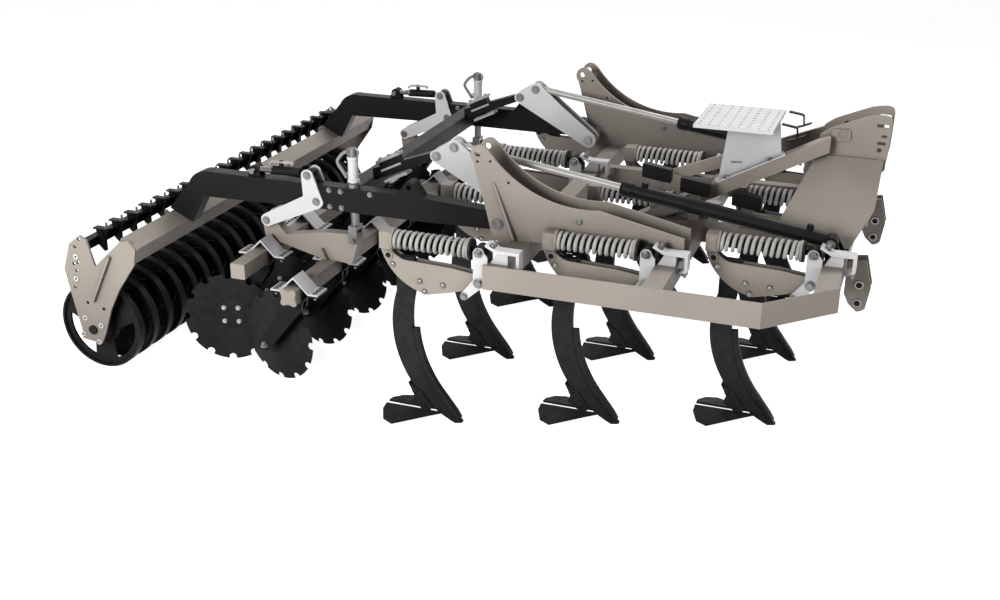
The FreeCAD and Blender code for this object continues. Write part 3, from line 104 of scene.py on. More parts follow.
class CultivatorLook(bpy.types.PropertyGroup):
    """Colours of the finishes."""

    tan: bpy.props.FloatVectorProperty(
        name="Frame paint", description="Warm grey-beige paint of the frame", subtype="COLOR",
        size=3, min=0, max=1, default=(0.45, 0.40, 0.352))
    white: bpy.props.FloatVectorProperty(
        name="White paint", description="White paint of brackets and cranks", subtype="COLOR",
        size=3, min=0, max=1, default=(0.90, 0.90, 0.91))
    black: bpy.props.FloatVectorProperty(
        name="Black paint", description="Black paint of the lift arms and cylinders",
        subtype="COLOR", size=3, min=0, max=1, default=(0.017, 0.017, 0.018))
    charcoal: bpy.props.FloatVectorProperty(
        name="Dark steel", description="Dark finish of tines, discs and rings", subtype="COLOR",
        size=3, min=0, max=1, default=(0.032, 0.032, 0.034))
    spring: bpy.props.FloatVectorProperty(
        name="Spring wire", description="Light grey coating of the springs", subtype="COLOR",
        size=3, min=0, max=1, default=(0.52, 0.51, 0.49))
    steel: bpy.props.FloatVectorProperty(
        name="Bare steel", description="Turned steel", subtype="COLOR",
        size=3, min=0, max=1, default=(0.42, 0.41, 0.40))
    zinc: bpy.props.FloatVectorProperty(
        name="Zinc", description="Plating of bolts and pins", subtype="COLOR",
        size=3, min=0, max=1, default=(0.20, 0.20, 0.20))
    chrome: bpy.props.FloatVectorProperty(
        name="Rod chrome", description="Ground chrome of the cylinder rods", subtype="COLOR",
        size=3, min=0, max=1, default=(0.44, 0.43, 0.41))


class CultivatorSizes(bpy.types.PropertyGroup):
    """Sizes of the pieces that are added."""

    spring_turns: bpy.props.IntProperty(
        name="Spring turns", description="Turns of a trip spring", min=4, default=13)
    spring_wire: bpy.props.FloatProperty(
        name="Spring wire", description="Thickness of the springs' wire", unit="LENGTH",
        default=0.020)
    spring_width: bpy.props.FloatProperty(
        name="Spring width", description="Outer diameter of a trip spring", unit="LENGTH",
        default=0.1)
    step_hole: bpy.props.FloatProperty(
        name="Step hole", description="Diameter of the holes in the step", unit="LENGTH",
        default=0.015)
    weld: bpy.props.FloatProperty(
        name="Weld", description="Width of a weld bead", unit="LENGTH", default=0.009)


class CultivatorView(bpy.types.PropertyGroup):
    """Place of the camera and size of the studio."""

    place: bpy.props.FloatVectorProperty(
        name="Camera place", description="Where the camera stands", subtype="TRANSLATION",
        size=3, unit="LENGTH", default=(2.306, -6.69, 3.11))
    turn: bpy.props.FloatProperty(
        name="Turn", description="How far the camera looks leftwards of straight ahead",
        unit="ROTATION", default=math.radians(19.32))
    dip: bpy.props.FloatProperty(
        name="Dip", description="How far the camera looks down", unit="ROTATION",
        default=math.radians(22.93))
    roll: bpy.props.FloatProperty(
        name="Roll", description="How far the camera leans", unit="ROTATION",
        default=math.radians(0.55))
    lens: bpy.props.FloatProperty(
        name="Lens", description="Focal length on a 36 mm wide frame", unit="CAMERA",
        min=10, default=45.4)
    floor: bpy.props.FloatProperty(
        name="Floor", description="Half the side of the floor", unit="LENGTH", default=60)


# Shapes, in millimetres


class Shape:
    """Points and groups of faces with equally many corners, held as whole arrays."""

    def __init__(self, points, faces):
        self.points = np.asarray(points, float).reshape(-1, 3)
        self.faces = [np.atleast_2d(np.asarray(group)) for group in faces]

    def copied(self, frames):
        """Copy the shape into frames: place + x * across + y * along + z * out."""
        frames = np.asarray(frames, float)
        points = np.einsum("pk,nkc->npc", self.points, frames[:, 1:]) + frames[:, None, 0]
        starts = np.arange(len(frames))[:, None, None] * len(self.points)
        return Shape(points, [(group + starts).reshape(-1, group.shape[1]) for group in self.faces])

    def mirrored(self):
        """Swap left and right, and turn the faces round."""
        return Shape(self.points * (1, -1, 1), [group[:, ::-1] for group in self.faces])

    def moved(self, x=0.0, y=0.0, z=0.0):
        return Shape(self.points + (x, y, z), self.faces)


def joined(*shapes):
    """Put shapes together as one."""
    starts = np.cumsum([0] + [len(shape.points) for shape in shapes])
    return Shape(np.concatenate([shape.points for shape in shapes]),
                 [group + start for shape, start in zip(shapes, starts) for group in shape.faces])


def both_sides(shape):
    return joined(shape, shape.mirrored())


def tube_faces(rows, columns):
    """Return the faces of a tube of rings: (i, j), (i, j+1), (i+1, j+1), (i+1, j), and its ends."""
    i, j = np.meshgrid(np.arange(rows - 1), np.arange(columns), indexing="ij")
    after = (j + 1) % columns
    sides = np.stack([i * columns + j, i * columns + after,
                      (i + 1) * columns + after, (i + 1) * columns + j], -1).reshape(-1, 4)
    ring = np.arange(columns)
    return [sides, ring[::-1], ring + (rows - 1) * columns]


def turned(profile, count=18):
    """Turn (radius, height, share of a hexagon) rows about z.

    A point is (r k cos a, r k sin a, h), where k = 1 + share * (1 / cos(b) - 1) and b is the angle
    from the middle of the nearest of six flats.
    """
    rows = np.array([(*row, 0)[:3] for row in profile], float)
    angle = np.arange(count) * (2 * np.pi / count)
    from_flat = np.mod(angle, np.pi / 3) - np.pi / 6
    swell = 1 + rows[:, 2:3] * (1 / np.cos(from_flat) - 1)
    radius = rows[:, :1] * swell
    points = np.stack([radius * np.cos(angle), radius * np.sin(angle),
                       np.broadcast_to(rows[:, 1:2], radius.shape)], -1)
    return Shape(points, tube_faces(len(rows), count))


def swept(path, section, across=None):
    """Carry a closed outline (side, up) along a path: p + side * u + up * (t x u).

    t is the path's direction and u is level and square to it, unless u is given for each point.
    """
    path = np.asarray(path, float)
    section = np.asarray(section, float)
    ahead = np.gradient(path, axis=0)
    ahead /= np.linalg.norm(ahead, axis=1, keepdims=True)
    if across is None:
        across = np.cross((0, 0, 1), ahead)
        lost = np.linalg.norm(across, axis=1) < 1e-6
        across[lost] = (0, 1, 0)
    across = np.broadcast_to(np.asarray(across, float), path.shape)
    across = across / np.linalg.norm(across, axis=1, keepdims=True)
    upward = np.cross(ahead, across)
    points = (path[:, None] + across[:, None] * section[None, :, :1]
              + upward[:, None] * section[None, :, 1:])
    return Shape(points, tube_faces(len(path), len(section)))


def round_section(radius, count=8):
    """Return a circle's points: r cos a, r sin a."""
    angle = np.arange(count) * (2 * np.pi / count)
    return np.stack([radius * np.cos(angle), radius * np.sin(angle)], -1)


def bar_section(wide, tall, corner):
    """Return a rectangle's outline with its corners cut."""
    corners = np.array([(-1, -1), (1, -1), (1, 1), (-1, 1)]) * (wide / 2, tall / 2)
    return softened(corners, corner, 2)


def bends(before, corner, after, radius, steps):
    """Round every corner C between A and B, each a radius away: (1-t)^2 A + 2t(1-t) C + t^2 B."""
    first, last = (corner + way / np.linalg.norm(way, axis=1, keepdims=True) * radius
                   for way in (before - corner, after - corner))
    t = np.linspace(0, 1, steps)[None, :, None]
    bent = ((1 - t) ** 2 * first[:, None] + 2 * t * (1 - t) * corner[:, None]
            + t ** 2 * last[:, None])
    return bent.reshape(-1, corner.shape[1])


def softened(corners, radius, steps=4):
    """Return an outline with every corner rounded."""
    corner = np.asarray(corners, float)
    radius = np.broadcast_to(np.asarray(radius, float), len(corner))[:, None]
    return bends(np.roll(corner, 1, axis=0), corner, np.roll(corner, -1, axis=0), radius, steps)


def flowing(corners, radius, steps=5):
    """Return a path through corners with every inner bend rounded."""
    corner = np.asarray(corners, float)
    bent = bends(corner[:-2], corner[1:-1], corner[2:], radius, steps)
    return np.concatenate([corner[:1], bent, corner[-1:]])


def obround(x, z, long, radius, steps=7):
    """Return a slot's outline: two half circles a length apart."""
    angle = np.linspace(-np.pi / 2, np.pi / 2, steps)
    half = max(long / 2 - radius, 0)
    right = np.stack([x + half + radius * np.cos(angle), z + radius * np.sin(angle)], -1)
    left = np.stack([x - half - radius * np.cos(angle), z - radius * np.sin(angle)], -1)
    return np.concatenate([right, left])


def anticlockwise(outline):
    """Return whether an outline's signed area is positive."""
    after = np.roll(outline, -1, axis=0)
    return np.sum(outline[:, 0] * after[:, 1] - after[:, 0] * outline[:, 1]) > 0


def slab(outline, thick, holes=()):
    """Thicken an outline with holes to both sides of its plane: (x, y, +-thick / 2)."""
    loops = [np.asarray(loop, float) for loop in (outline, *holes)]
    loops = [loop if anticlockwise(loop) == (index == 0) else loop[::-1]
             for index, loop in enumerate(loops)]
    flat = np.concatenate(loops)
    cells = geometry.tessellate_polygon([[Vector((x, y, 0)) for x, y in loop] for loop in loops])
    cells = np.array(cells)
    a, b, c = (flat[cells[:, index]] for index in range(3))
    turn = (b[:, 0] - a[:, 0]) * (c[:, 1] - a[:, 1]) - (b[:, 1] - a[:, 1]) * (c[:, 0] - a[:, 0])
    cells[turn < 0] = cells[turn < 0][:, ::-1]
    count = len(flat)
    points = np.concatenate([np.c_[flat, np.full(count, thick / 2)],
                             np.c_[flat, np.full(count, -thick / 2)]])
    walls = []
    start = 0
    for loop in loops:
        ring = np.arange(len(loop))
        here = start + ring
        after = start + (ring + 1) % len(loop)
        walls.append(np.stack([here + count, after + count, after, here], -1))
        start += len(loop)
    return Shape(points, [cells, cells[:, ::-1] + count, np.concatenate(walls)])


def upright(shape):
    """Stand a slab's plane up along the machine: its (x, y, z) become (x, -z, y)."""
    return Shape(shape.points[:, [0, 2, 1]] * (1, -1, 1), shape.faces)


def plate(corners, radius, thick, holes=(), steps=4):
    """Return an upright slab with rounded corners (x, z)."""
    return upright(slab(softened(corners, radius, steps), thick, holes))


def facing(places, outward, upward=(0, 0, 1), size=1.0, spin=None):
    """Return frames at places with their third axis outward, each turned a little further."""
    places = np.atleast_2d(np.asarray(places, float))
    out = np.broadcast_to(np.asarray(outward, float), places.shape)
    out = out / np.linalg.norm(out, axis=1, keepdims=True)
    across = np.cross(upward, out)
    across /= np.linalg.norm(across, axis=1, keepdims=True)
    along = np.cross(out, across)
    size = np.broadcast_to(np.asarray(size, float), len(places))[:, None]
    turn = (np.arange(len(places)) * 0.73 if spin is None else np.full(len(places), spin))[:, None]
    turned_across = across * np.cos(turn) + along * np.sin(turn)
    turned_along = along * np.cos(turn) - across * np.sin(turn)
    return np.stack([places, turned_across * size, turned_along * size, out * size], axis=1)


def on_cheeks(spots, middles, half):
    """Return places (x, z spots) on both faces of every middle (x, y), and their outward sides."""
    spots = np.asarray(spots, float)[None, :, None]
    middles = np.asarray(middles, float)[:, None, None]
    x, side, z = np.broadcast_arrays(middles[..., 0] + spots[..., 0], (-1.0, 1.0), spots[..., 1])
    places = np.stack([x, middles[..., 1] + half * side, z], -1)
    return places.reshape(-1, 3), np.stack([side * 0, side, side * 0], -1).reshape(-1, 3)


# Fasteners, for a 16 mm thread: each profile runs from the seat outwards
HEX_BOLT = turned([(17, -1), (17, 3), (12, 3.2, 1), (12, 11, 1), (10.4, 13, 0.4)])
HEX_NUT = turned([(17, -1), (17, 3), (12, 3.2, 1), (12, 14, 1), (10.5, 15.5, 0.4), (8, 15.5),
                  (8, 23), (6.6, 24.5)])
DOME_BOLT = turned([(15, -1), (15, 2), (13.2, 5.5), (9.8, 8.6), (5, 10.4)])
PIN_HEAD = turned([(28, -1), (28, 3.5), (26.5, 5), (20, 5), (20, 9.5), (18.6, 11), (9, 11),
                   (7.5, 8.5)], 24)
EYE_RING = turned([(24, -1), (24, 4.5), (22, 6.5), (15.5, 6.5), (14, 5), (14, 0.8)], 24)
# A black disc in the eye ring's hole: painted shade standing in for the dark inside of the hole.
EYE_PAINTED_SHADE = turned([(13.9, 0.2), (13.9, 1.3)], 18)
WASHER_BOLT = turned([(16, -1), (16, 3), (14.8, 4), (6.5, 4), (6, 3)])
# A black disc in the washer's hole: painted shade standing in for the dark inside of the hole.
WASHER_PAINTED_SHADE = turned([(5.9, 2), (5.9, 3.4)], 12)


def new_mesh(name, shape, finish, body="frame", smooth=False, bevel=0.0):
    """Make a shape an object in metres that rides on a body, if any, and has one finish."""
    mesh = bpy.data.meshes.new(name)
    faces = [corners for group in shape.faces for corners in group.tolist()]
    mesh.from_pydata((shape.points / 1000).tolist(), [], faces)
    mesh.polygons.foreach_set("use_smooth", np.full(len(mesh.polygons), smooth))
    mesh.update()
    obj = bpy.data.objects.new(name, mesh)
    bpy.context.scene.collection.objects.link(obj)
    mesh.materials.append(bpy.data.materials[finish])
    if bevel:
        edge = obj.modifiers.new("edges", "BEVEL")
        edge.width = bevel / 1000
        edge.segments = 2
        edge.limit_method = "ANGLE"
        edge.angle_limit = math.radians(35)
    if body:
        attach(obj, body)
    return obj


def fasten(name, kind, body, finish, places, outward, size=1.0, upward=(0, 0, 1)):
    """Set one kind of fastener on many places as one piece."""
    new_mesh(name, kind.copied(facing(places, outward, upward, size)), finish, body)


def fasten_cheeks(body, rows):
    """Set fasteners by rows: name, kind, finish, spots (x, z), middles (x, y), half width, size."""
    for name, kind, finish, spots, middles, half, size in rows:
        fasten(name, kind, body, finish, *on_cheeks(spots, middles, half), size)


def shifts(places):
    """Return frames that only move a shape."""
    places = np.atleast_2d(np.asarray(places, float))[:, None]
    return np.concatenate([places, np.broadcast_to(np.eye(3), (len(places), 3, 3))], axis=1)


def repeated(shape, middles):
    """Repeat a shape made about x = y = 0 on middles (x, y)."""
    return shape.copied(shifts(np.c_[middles, np.zeros(len(middles))]))


def per_unit(shape):
    """Repeat a shape on all tine units."""
    return repeated(shape, UNITS)


def weld(path, width):
    """Lay a weld along a path: a round section whose size swells with the sine of the way run."""
    path = np.asarray(path, float)
    way = np.r_[0, np.cumsum(np.linalg.norm(np.diff(path, axis=0), axis=1))]
    count = max(4, int(way[-1] / 4))
    run = np.linspace(0, way[-1], count)
    points = np.stack([np.interp(run, way, path[:, axis]) for axis in range(3)], -1)
    swell = 1 + 0.14 * np.sin(run * (2 * np.pi / 12))
    bead = swept(points, round_section(width / 2, 6))
    middle = np.repeat(points, 6, axis=0)
    return Shape(middle + (bead.points - middle) * np.repeat(swell, 6)[:, None], bead.faces)


# Materials

WHITE = (1, 1, 1, 1)
DUST = (0.36, 0.33, 0.29, 1)


class Nodes:
    """The node tree of a material or a world, with each node made and wired in one call."""

    def __init__(self, owner, end="Principled BSDF"):
        owner.use_nodes = True
        self.tree = owner.node_tree
        self.end = self.tree.nodes[end]

    def put(self, target, value):
        """Give an input a value or another node's output."""
        if isinstance(value, bpy.types.NodeSocket):
            self.tree.links.new(value, target)
        else:
            target.default_value = value

    def feed(self, **values):
        """Give the shader's inputs their values; an underscore stands for a space."""
        for name, value in values.items():
            self.put(self.end.inputs[name.replace("_", " ")], value)

    def add(self, kind, inputs, **values):
        """Make a node, give it its values and inputs, and return its outputs."""
        made = self.tree.nodes.new("ShaderNode" + kind)
        for key, value in values.items():
            setattr(made, key, value)
        for key, value in inputs.items():
            self.put(made.inputs[key], value)
        return made.outputs

    def noise(self, scale, detail=3.0, roughness=0.5, stretch=(1, 1, 1)):
        """Return the value of a noise of so many swells a metre."""
        place = self.add("TexCoord", {})["Object"]
        mapping = self.add("Mapping", {"Vector": place, "Scale": stretch})
        return self.add("TexNoise", {
            "Vector": mapping["Vector"], "Scale": scale, "Detail": detail,
            "Roughness": roughness})["Fac"]

    def steps(self, source, low, high, start=0.0, end=1.0):
        """Map a value from low..high to start..end."""
        return self.add("MapRange", {
            "Value": source, "From Min": low, "From Max": high, "To Min": start,
            "To Max": end})["Result"]

    def blend(self, share, first, second):
        """Mix two colours by a share."""
        return self.add("Mix", {"Factor": share, 6: first, 7: second},
                        data_type="RGBA")[2]

    def combine(self, operation, first, second):
        """Return the product or the greater of two values."""
        return self.add("Math", {0: first, 1: second}, operation=operation)[0]

    def bump(self, height, strength, distance):
        self.feed(Normal=self.add("Bump", {
            "Height": height, "Strength": strength, "Distance": distance})["Normal"])

    def with_painted_shade(self, reach, darkest, colour):
        """Return a colour with painted shade: darker in corners and behind other parts, by ambient
        occlusion.
        """
        made = self.add("AmbientOcclusion", {"Distance": reach}, samples=6)
        share = self.steps(made["AO"], 0.25, 0.95, darkest, 1.0)
        return self.add("VectorMath", {0: colour, "Scale": share},
                        operation="SCALE")[0]

    def facing_up(self):
        """Return how far a surface faces the sky, 0 to 1."""
        normal = self.add("NewGeometry", {})["Normal"]
        split = self.add("SeparateXYZ", {0: normal})
        return self.steps(split["Z"], 0.4, 0.95)

    def background_ray(self):
        """Return 1 for a ray that shows the background: camera's, mirror's or clear matter's."""
        path = self.add("LightPath", {})
        seen = self.combine("MAXIMUM", path["Is Camera Ray"], path["Is Glossy Ray"])
        return self.combine("MAXIMUM", seen, path["Is Transmission Ray"])


def new_finish(name):
    """Start a finish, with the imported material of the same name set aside."""
    packed = bpy.data.materials.get(name)
    if packed:
        packed.name = name + "_packed"
    return Nodes(bpy.data.materials.new(name))


def shade(colour, factor):
    """Return a colour made lighter or darker."""
    return (*(min(1.0, part * factor) for part in colour), 1)


def paint(name, colour, roughness, gloss, dust_share, chip_share):
    """Make a sprayed paint: soft swells of tone, orange peel, dust on top, small chips and painted
    shade in corners and behind other parts.
    """
    nodes = new_finish(name)
    tone = nodes.steps(nodes.noise(2.2, 2), 0.35, 0.65)
    base = nodes.blend(tone, shade(colour, 0.94), shade(colour, 1.04))
    speckle = nodes.steps(nodes.noise(9, 5, 0.6), 0.42, 0.72, 0, dust_share)
    dusted = nodes.blend(nodes.combine("MULTIPLY", nodes.facing_up(), speckle), base, DUST)
    chips = nodes.steps(nodes.noise(55, 4, 0.7), 0.715, 0.735, 0, chip_share)
    sprayed = nodes.blend(chips, dusted, shade(colour, 0.5))
    rough = nodes.steps(nodes.noise(14, 4), 0.3, 0.7, roughness - 0.05, roughness + 0.07)
    # The base colour gets painted shade: darker in corners and behind other parts.
    nodes.feed(Base_Color=nodes.with_painted_shade(0.7, 0.3, sprayed), Roughness=rough,
               Specular_IOR_Level=gloss)
    nodes.bump(nodes.noise(420, 2), 0.12, 0.0006)


def forged(name, colour, roughness):
    """Make dark rolled or forged steel: mottled scale, faint pits, rubbed patches and painted shade
    in corners and behind other parts.
    """
    nodes = new_finish(name)
    mottle = nodes.steps(nodes.noise(26, 6, 0.65), 0.3, 0.7)
    base = nodes.blend(mottle, shade(colour, 0.8), shade(colour, 1.25))
    rubbed = nodes.steps(nodes.noise(5, 4, 0.6), 0.56, 0.74, 0, 0.4)
    worn = nodes.blend(rubbed, base, shade(colour, 1.7))
    rough = nodes.steps(nodes.noise(18, 4), 0.3, 0.7, roughness - 0.08, roughness + 0.1)
    # The base colour gets painted shade: darker in corners and behind other parts.
    nodes.feed(Base_Color=nodes.with_painted_shade(0.5, 0.2, worn), Roughness=rough,
               Specular_IOR_Level=0.03)
    nodes.bump(nodes.noise(160, 5, 0.6), 0.1, 0.001)


def plated(name, colour, roughness, metallic, grain):
    """Make bare or plated steel: fine machining lines and a slow change of tone."""
    nodes = new_finish(name)
    tone = nodes.steps(nodes.noise(12, 4), 0.3, 0.7)
    lines = nodes.noise(90, 3, 0.5, grain)
    rough = nodes.steps(lines, 0.3, 0.7, roughness - 0.06, roughness + 0.08)
    nodes.feed(Base_Color=nodes.blend(tone, shade(colour, 0.88), shade(colour, 1.08)),
               Roughness=rough, Metallic=metallic)
    nodes.bump(lines, 0.08, 0.0004)


# Operators


class CULTIVATOR_OT_finishes(bpy.types.Operator):
    """Make the finishes and give every CAD node its own"""

    bl_idname = "cultivator.finishes"
    bl_label = "Finishes"

    def execute(self, context):
        look = context.scene.cultivator_look
        paint("tan_paint", look.tan, 0.42, 0.14, 0.2, 0.4)
        paint("white_paint", look.white, 0.38, 0.3, 0.03, 0.0)
        paint("black_paint", look.black, 0.34, 0.07, 0.06, 0.0)
        forged("dark_steel", look.charcoal, 0.42)
        plated("spring_steel", look.spring, 0.6, 0.0, (1, 1, 1))
        plated("bare_steel", look.steel, 0.35, 0.7, (1, 8, 8))
        plated("zinc", look.zinc, 0.34, 0.9, (1, 1, 1))
        plated("chrome_rod", look.chrome, 0.36, 0.1, (1, 12, 12))
        for row in frame["record"]["subparts"]:
            mesh = frame["nodes"][row["node"]].data
            mesh.materials.clear()
            mesh.materials.append(bpy.data.materials[row["material_slot"]])
        return {"FINISHED"}


class CULTIVATOR_OT_springs(bpy.types.Operator):
    """Wind the trip springs round their dark cores, with a collar at each end"""

    bl_idname = "cultivator.springs"
    bl_label = "Trip springs"

    def execute(self, context):
        coils = new_mesh("trip_spring_coils", per_unit(self.coil(context.scene.cultivator_sizes)),
                         "spring_steel", smooth=True)
        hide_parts("trip_springs")
        long = SPRING_FRONT - SPRING_REAR
        core = turned([(37, 0), (37, 16), (27, 20), (27, long - 20), (37, long - 16), (37, long)])
        rearward = facing([(SPRING_FRONT, 0, SPRING_Z)], (-1, 0, 0))
        new_mesh("trip_spring_cores", per_unit(core.copied(rearward)), "black_paint")
        collar = turned([(30, 0), (52.5, 0), (54.5, 2), (54.5, 11), (52.5, 13), (30, 13)], 32)
        ends = facing([(x, 0, SPRING_Z) for x in (SPRING_FRONT + 2, SPRING_REAR + 11)], (-1, 0, 0))
        new_mesh("trip_spring_collars", per_unit(collar.copied(ends)), "tan_paint")
        return {"FINISHED"}

    def coil(self, sizes):
        """Return a coil, (x(a), r cos a, r sin a): x runs evenly but for one flat end turn."""
        wire = sizes.spring_wire * HALF
        radius = sizes.spring_width * HALF - wire
        turns = sizes.spring_turns
        turn = np.linspace(0, turns, turns * 20 + 1)
        long = SPRING_FRONT - SPRING_REAR
        run = np.interp(turn, [0, 1, turns - 1, turns],
                        [wire, wire * 2.9, long - wire * 2.9, long - wire])
        angle = turn * 2 * np.pi
        radial = np.stack([angle * 0, np.cos(angle), np.sin(angle)], -1)
        path = radial * radius + np.c_[SPRING_FRONT - run, angle * 0, angle * 0 + SPRING_Z]
        return swept(path, round_section(wire, 8), radial)


class CULTIVATOR_OT_tine_fasteners(bpy.types.Operator):
    """Set the bolts, nuts and eyes of the tine units"""

    bl_idname = "cultivator.tine_fasteners"
    bl_label = "Tine unit fasteners"

    ARM_BOLTS = [(-552, 838), (-408, 767), (-286, 761), (-384, 714)]
    ARM_EYE = [(-574, 884)]
    ARM_HALF = 27.3
    BRACKET_HALF = 42
    SIDE_PLATE = (1703, 1391)

    def execute(self, context):
        arm = (UNITS, self.ARM_HALF)
        bracket = (UNITS, self.BRACKET_HALF)
        fasten_cheeks("frame", (
            ("tine_arm_bolts", DOME_BOLT, "zinc", self.ARM_BOLTS, *arm, 1),
            ("tine_arm_eyes", EYE_RING, "tan_paint", self.ARM_EYE, *arm, 1),
            # Black discs in the eye rings: painted shade of their holes.
            ("tine_arm_eye_bottoms", EYE_PAINTED_SHADE, "black_paint", self.ARM_EYE, *arm, 1),
            ("spring_pin_nuts", HEX_NUT, "zinc", [(TINE_PIVOT[0], SPRING_Z)], *bracket, 1.3),
        ))
        places, outward = on_cheeks([TINE_PIVOT], *bracket)
        back, y = self.SIDE_PLATE
        clear = (np.abs(places[:, 1]) <= y) | (places[:, 0] <= at(back))
        fasten("tine_pivot_bolts", HEX_BOLT, "frame", "zinc", places[clear], outward[clear], 1.5)
        fasten("tine_stop_bolts", HEX_BOLT, "frame", "zinc",
               *on_cheeks([(-171, 726)], *bracket), 1.15)
        self.strap_nuts()
        return {"FINISHED"}

    def strap_nuts(self):
        """Put two nuts on the rear ear and two on the front ear of every beam strap."""
        for name, place, outward in (("rear", (-34, 0, 994), (0.47, 0, 0.88)),
                                     ("front", (86, 0, 880), (0.45, 0, -0.89))):
            spots = np.array([(place[0], side, place[2]) for side in (-16, 16)], float)
            nuts = HEX_NUT.copied(facing(spots, outward, (0, 1, 0), 0.95))
            new_mesh(f"strap_nuts_{name}", per_unit(nuts), "zinc")


class CULTIVATOR_OT_frame_fasteners(bpy.types.Operator):
    """Set the pin heads and bolts of the frame, and the ribs and welds of its plates"""

    bl_idname = "cultivator.frame_fasteners"
    bl_label = "Frame fasteners"

    HOLES = [(1873, 1298), (1806, 1306), (1709, 1206)]
    RIB = ((1786, 1199), (1668, 918))
    RIB_HALF = (4.65, 1.9)

    def execute(self, context):
        plates = (ARMS, PLATE_HALF)
        eyes = [(at(0), z) for z in (634, 732)]
        clevises = ([(0, -520), (0, 520)], 48)
        fasten_cheeks("frame", (
            ("pivot_heads", PIN_HEAD, "zinc", [(at(1765), 982)], *plates, 1.1),
            ("tall_plate_bolts", HEX_BOLT, "zinc", [(at(1337), 1050)], *plates, 1),
            # Thin black discs on both faces of the tall plates: painted shade where the holes are.
            ("tall_plate_holes", turned([(7, -0.5), (7, 0.5)], 12), "black_paint",
             [(at(back), z) for back, z in self.HOLES], *plates, 1),
            ("cylinder_pin_heads", PIN_HEAD, "zinc", [(at(150), 985)], ROCKERS, 52, 0.9),
            ("hitch_bushes", turned([(24, -1), (24, 4), (22.5, 5), (15, 5), (14.4, 3)], 24),
             "zinc", eyes, *clevises, 1),
            # Black discs in the hitch bushes: painted shade of the bores.
            ("hitch_bores", turned([(14.8, 4.8), (14.8, 5.3)], 20), "black_paint", eyes,
             *clevises, 1),
        ))
        new_mesh("tall_plate_ribs", joined(self.rib(-1, 36), self.rib(1, 14)), "tan_paint",
                 bevel=1.5)
        self.welds(context.scene.cultivator_sizes.weld * 1000)
        return {"FINISHED"}

    def rib(self, side, reach):
        """Return a rib on a tall plate's outer face: a strip whose width grows downwards."""
        face = (ARM_Y + PLATE_HALF) * side
        points = []
        for (back, z), out in zip(self.RIB, (5.0, reach)):
            for sign, y in ((-1, -1), (1, -1), (1, out), (-1, out)):
                points.append((at(back) + self.RIB_HALF[0] * sign, face + y * side,
                               z + self.RIB_HALF[1] * sign))
        faces = tube_faces(2, 4)
        return Shape(points, faces if side < 0 else [group[..., ::-1] for group in faces])

    def welds(self, width):
        """Weld the tall plates to the beams and the rails between the beams."""
        front, middle, rear = BEAM_BACKS.values()
        inner = PLATE_HALF - PLATE_THICK
        beads = []
        for reach in (PLATE_HALF, inner, -inner, -PLATE_HALF):
            for back in (middle, rear):
                beads.append(weld([(at(back + end), ARM_Y + reach, BEAM_TOP + 1)
                                   for end in (-49, 49)], width))
        edges = (RAIL_Y - RAIL_HALF, RAIL_Y + RAIL_HALF)
        for back, side in ((front, 1), (middle, -1), (middle, 1), (rear, -1)):
            x = at(back + side * BEAM_HALF)
            beads.append(weld([(x, y, BEAM_TOP) for y in edges], width))
            for y in edges:
                beads.append(weld([(x, y, BEAM_TOP), (x, y, BEAM_TOP - 2 * BEAM_HALF)], width))
        new_mesh("frame_welds", both_sides(joined(*beads)), "tan_paint", smooth=True)


class CULTIVATOR_OT_mast(bpy.types.Operator):
    """Cut the mast plates with their slots, and add the eyes and hooks beside them"""

    bl_idname = "cultivator.mast"
    bl_label = "Mast"

    OUTLINE = [(170, 910), (70, 910), (-40, 1256), (-45, 1490), (15, 1490), (75, 1478),
               (255, 1401), (310, 1360), (310, 1256)]
    ROUNDING = (1, 1, 30, 38, 20, 20, 20, 12, 20)

    # Slots: back, height, length and half width
    SLOTS = ((1, 1434, 62, 10), (-11, 1380, 30, 9), (-2, 1342, 46, 10))
    HOLES = ((5, 1306, 25.5, 12.75), (191, 1376, 34, 17))
    EYE = (191, 1376)
    PAD = ((260, 1330), (150, 1345), (158, 1402), (250, 1398))
    HOOK_Y = 140
    HOOKS = (((420, 1340), (424, 1392), (505, 1404)), ((470, 1318), (430, 1330), (380, 1352)))
    BOXES = ((1092, 1112, 78), (886, 1056, 80), (612, 1012, 78))

    def execute(self, context):
        corners = [(at(back), z) for back, z in self.OUTLINE]
        holes = [obround(at(back), *rest) for back, *rest in self.SLOTS]
        holes += [obround(at(back), *rest, 13) for back, *rest in self.HOLES]
        cut = plate(corners, self.ROUNDING, 14, holes)
        piece = new_mesh("mast_plates_cut", joined(cut.moved(y=107), cut.moved(y=-107)),
                         "tan_paint", bevel=1.2)
        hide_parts("mast_plates")
        back, z = self.EYE
        pad = plate([(at(edge), height) for edge, height in self.PAD], 14, 8,
                    [obround(at(back), z, 30, 15, 13)])
        new_mesh("mast_pads", both_sides(pad.moved(y=118)), "tan_paint", bevel=1)
        ring = turned([(22, -1), (22, 3), (20, 5), (14, 5), (12, 2)], 24)
        fasten("mast_eyes", ring, "frame", "tan_paint", *on_cheeks([(at(back), z)], [(0, 0)], 121))
        hooks = [swept(flowing([(at(edge), self.HOOK_Y, height) for edge, height in line], 10),
                       bar_section(34, 7, 2), (0, 1, 0)) for line in self.HOOKS]
        new_mesh("hose_hooks", both_sides(joined(*hooks)), "black_paint")
        self.boxes()
        return {"FINISHED"}

    def boxes(self):
        """Stand three black boxes on brackets along the near frame rail."""
        boxes, stands = [], []
        for back, low, tall in self.BOXES:
            corners = [(at(back + 78), low + 14), (at(back - 78), low - 6),
                       (at(back - 78), low + tall - 12), (at(back + 78), low + tall + 10)]
            boxes.append(plate(corners, 8, 46).moved(y=-RAIL_Y))
            stands.append(swept([(at(back), -RAIL_Y, z) for z in (BEAM_TOP - 2, low + 20)],
                                bar_section(60, 8, 1), (1, 0, 0)))
        new_mesh("valve_boxes", joined(*boxes), "black_paint", bevel=2)
        new_mesh("valve_brackets", joined(*stands), "tan_paint")


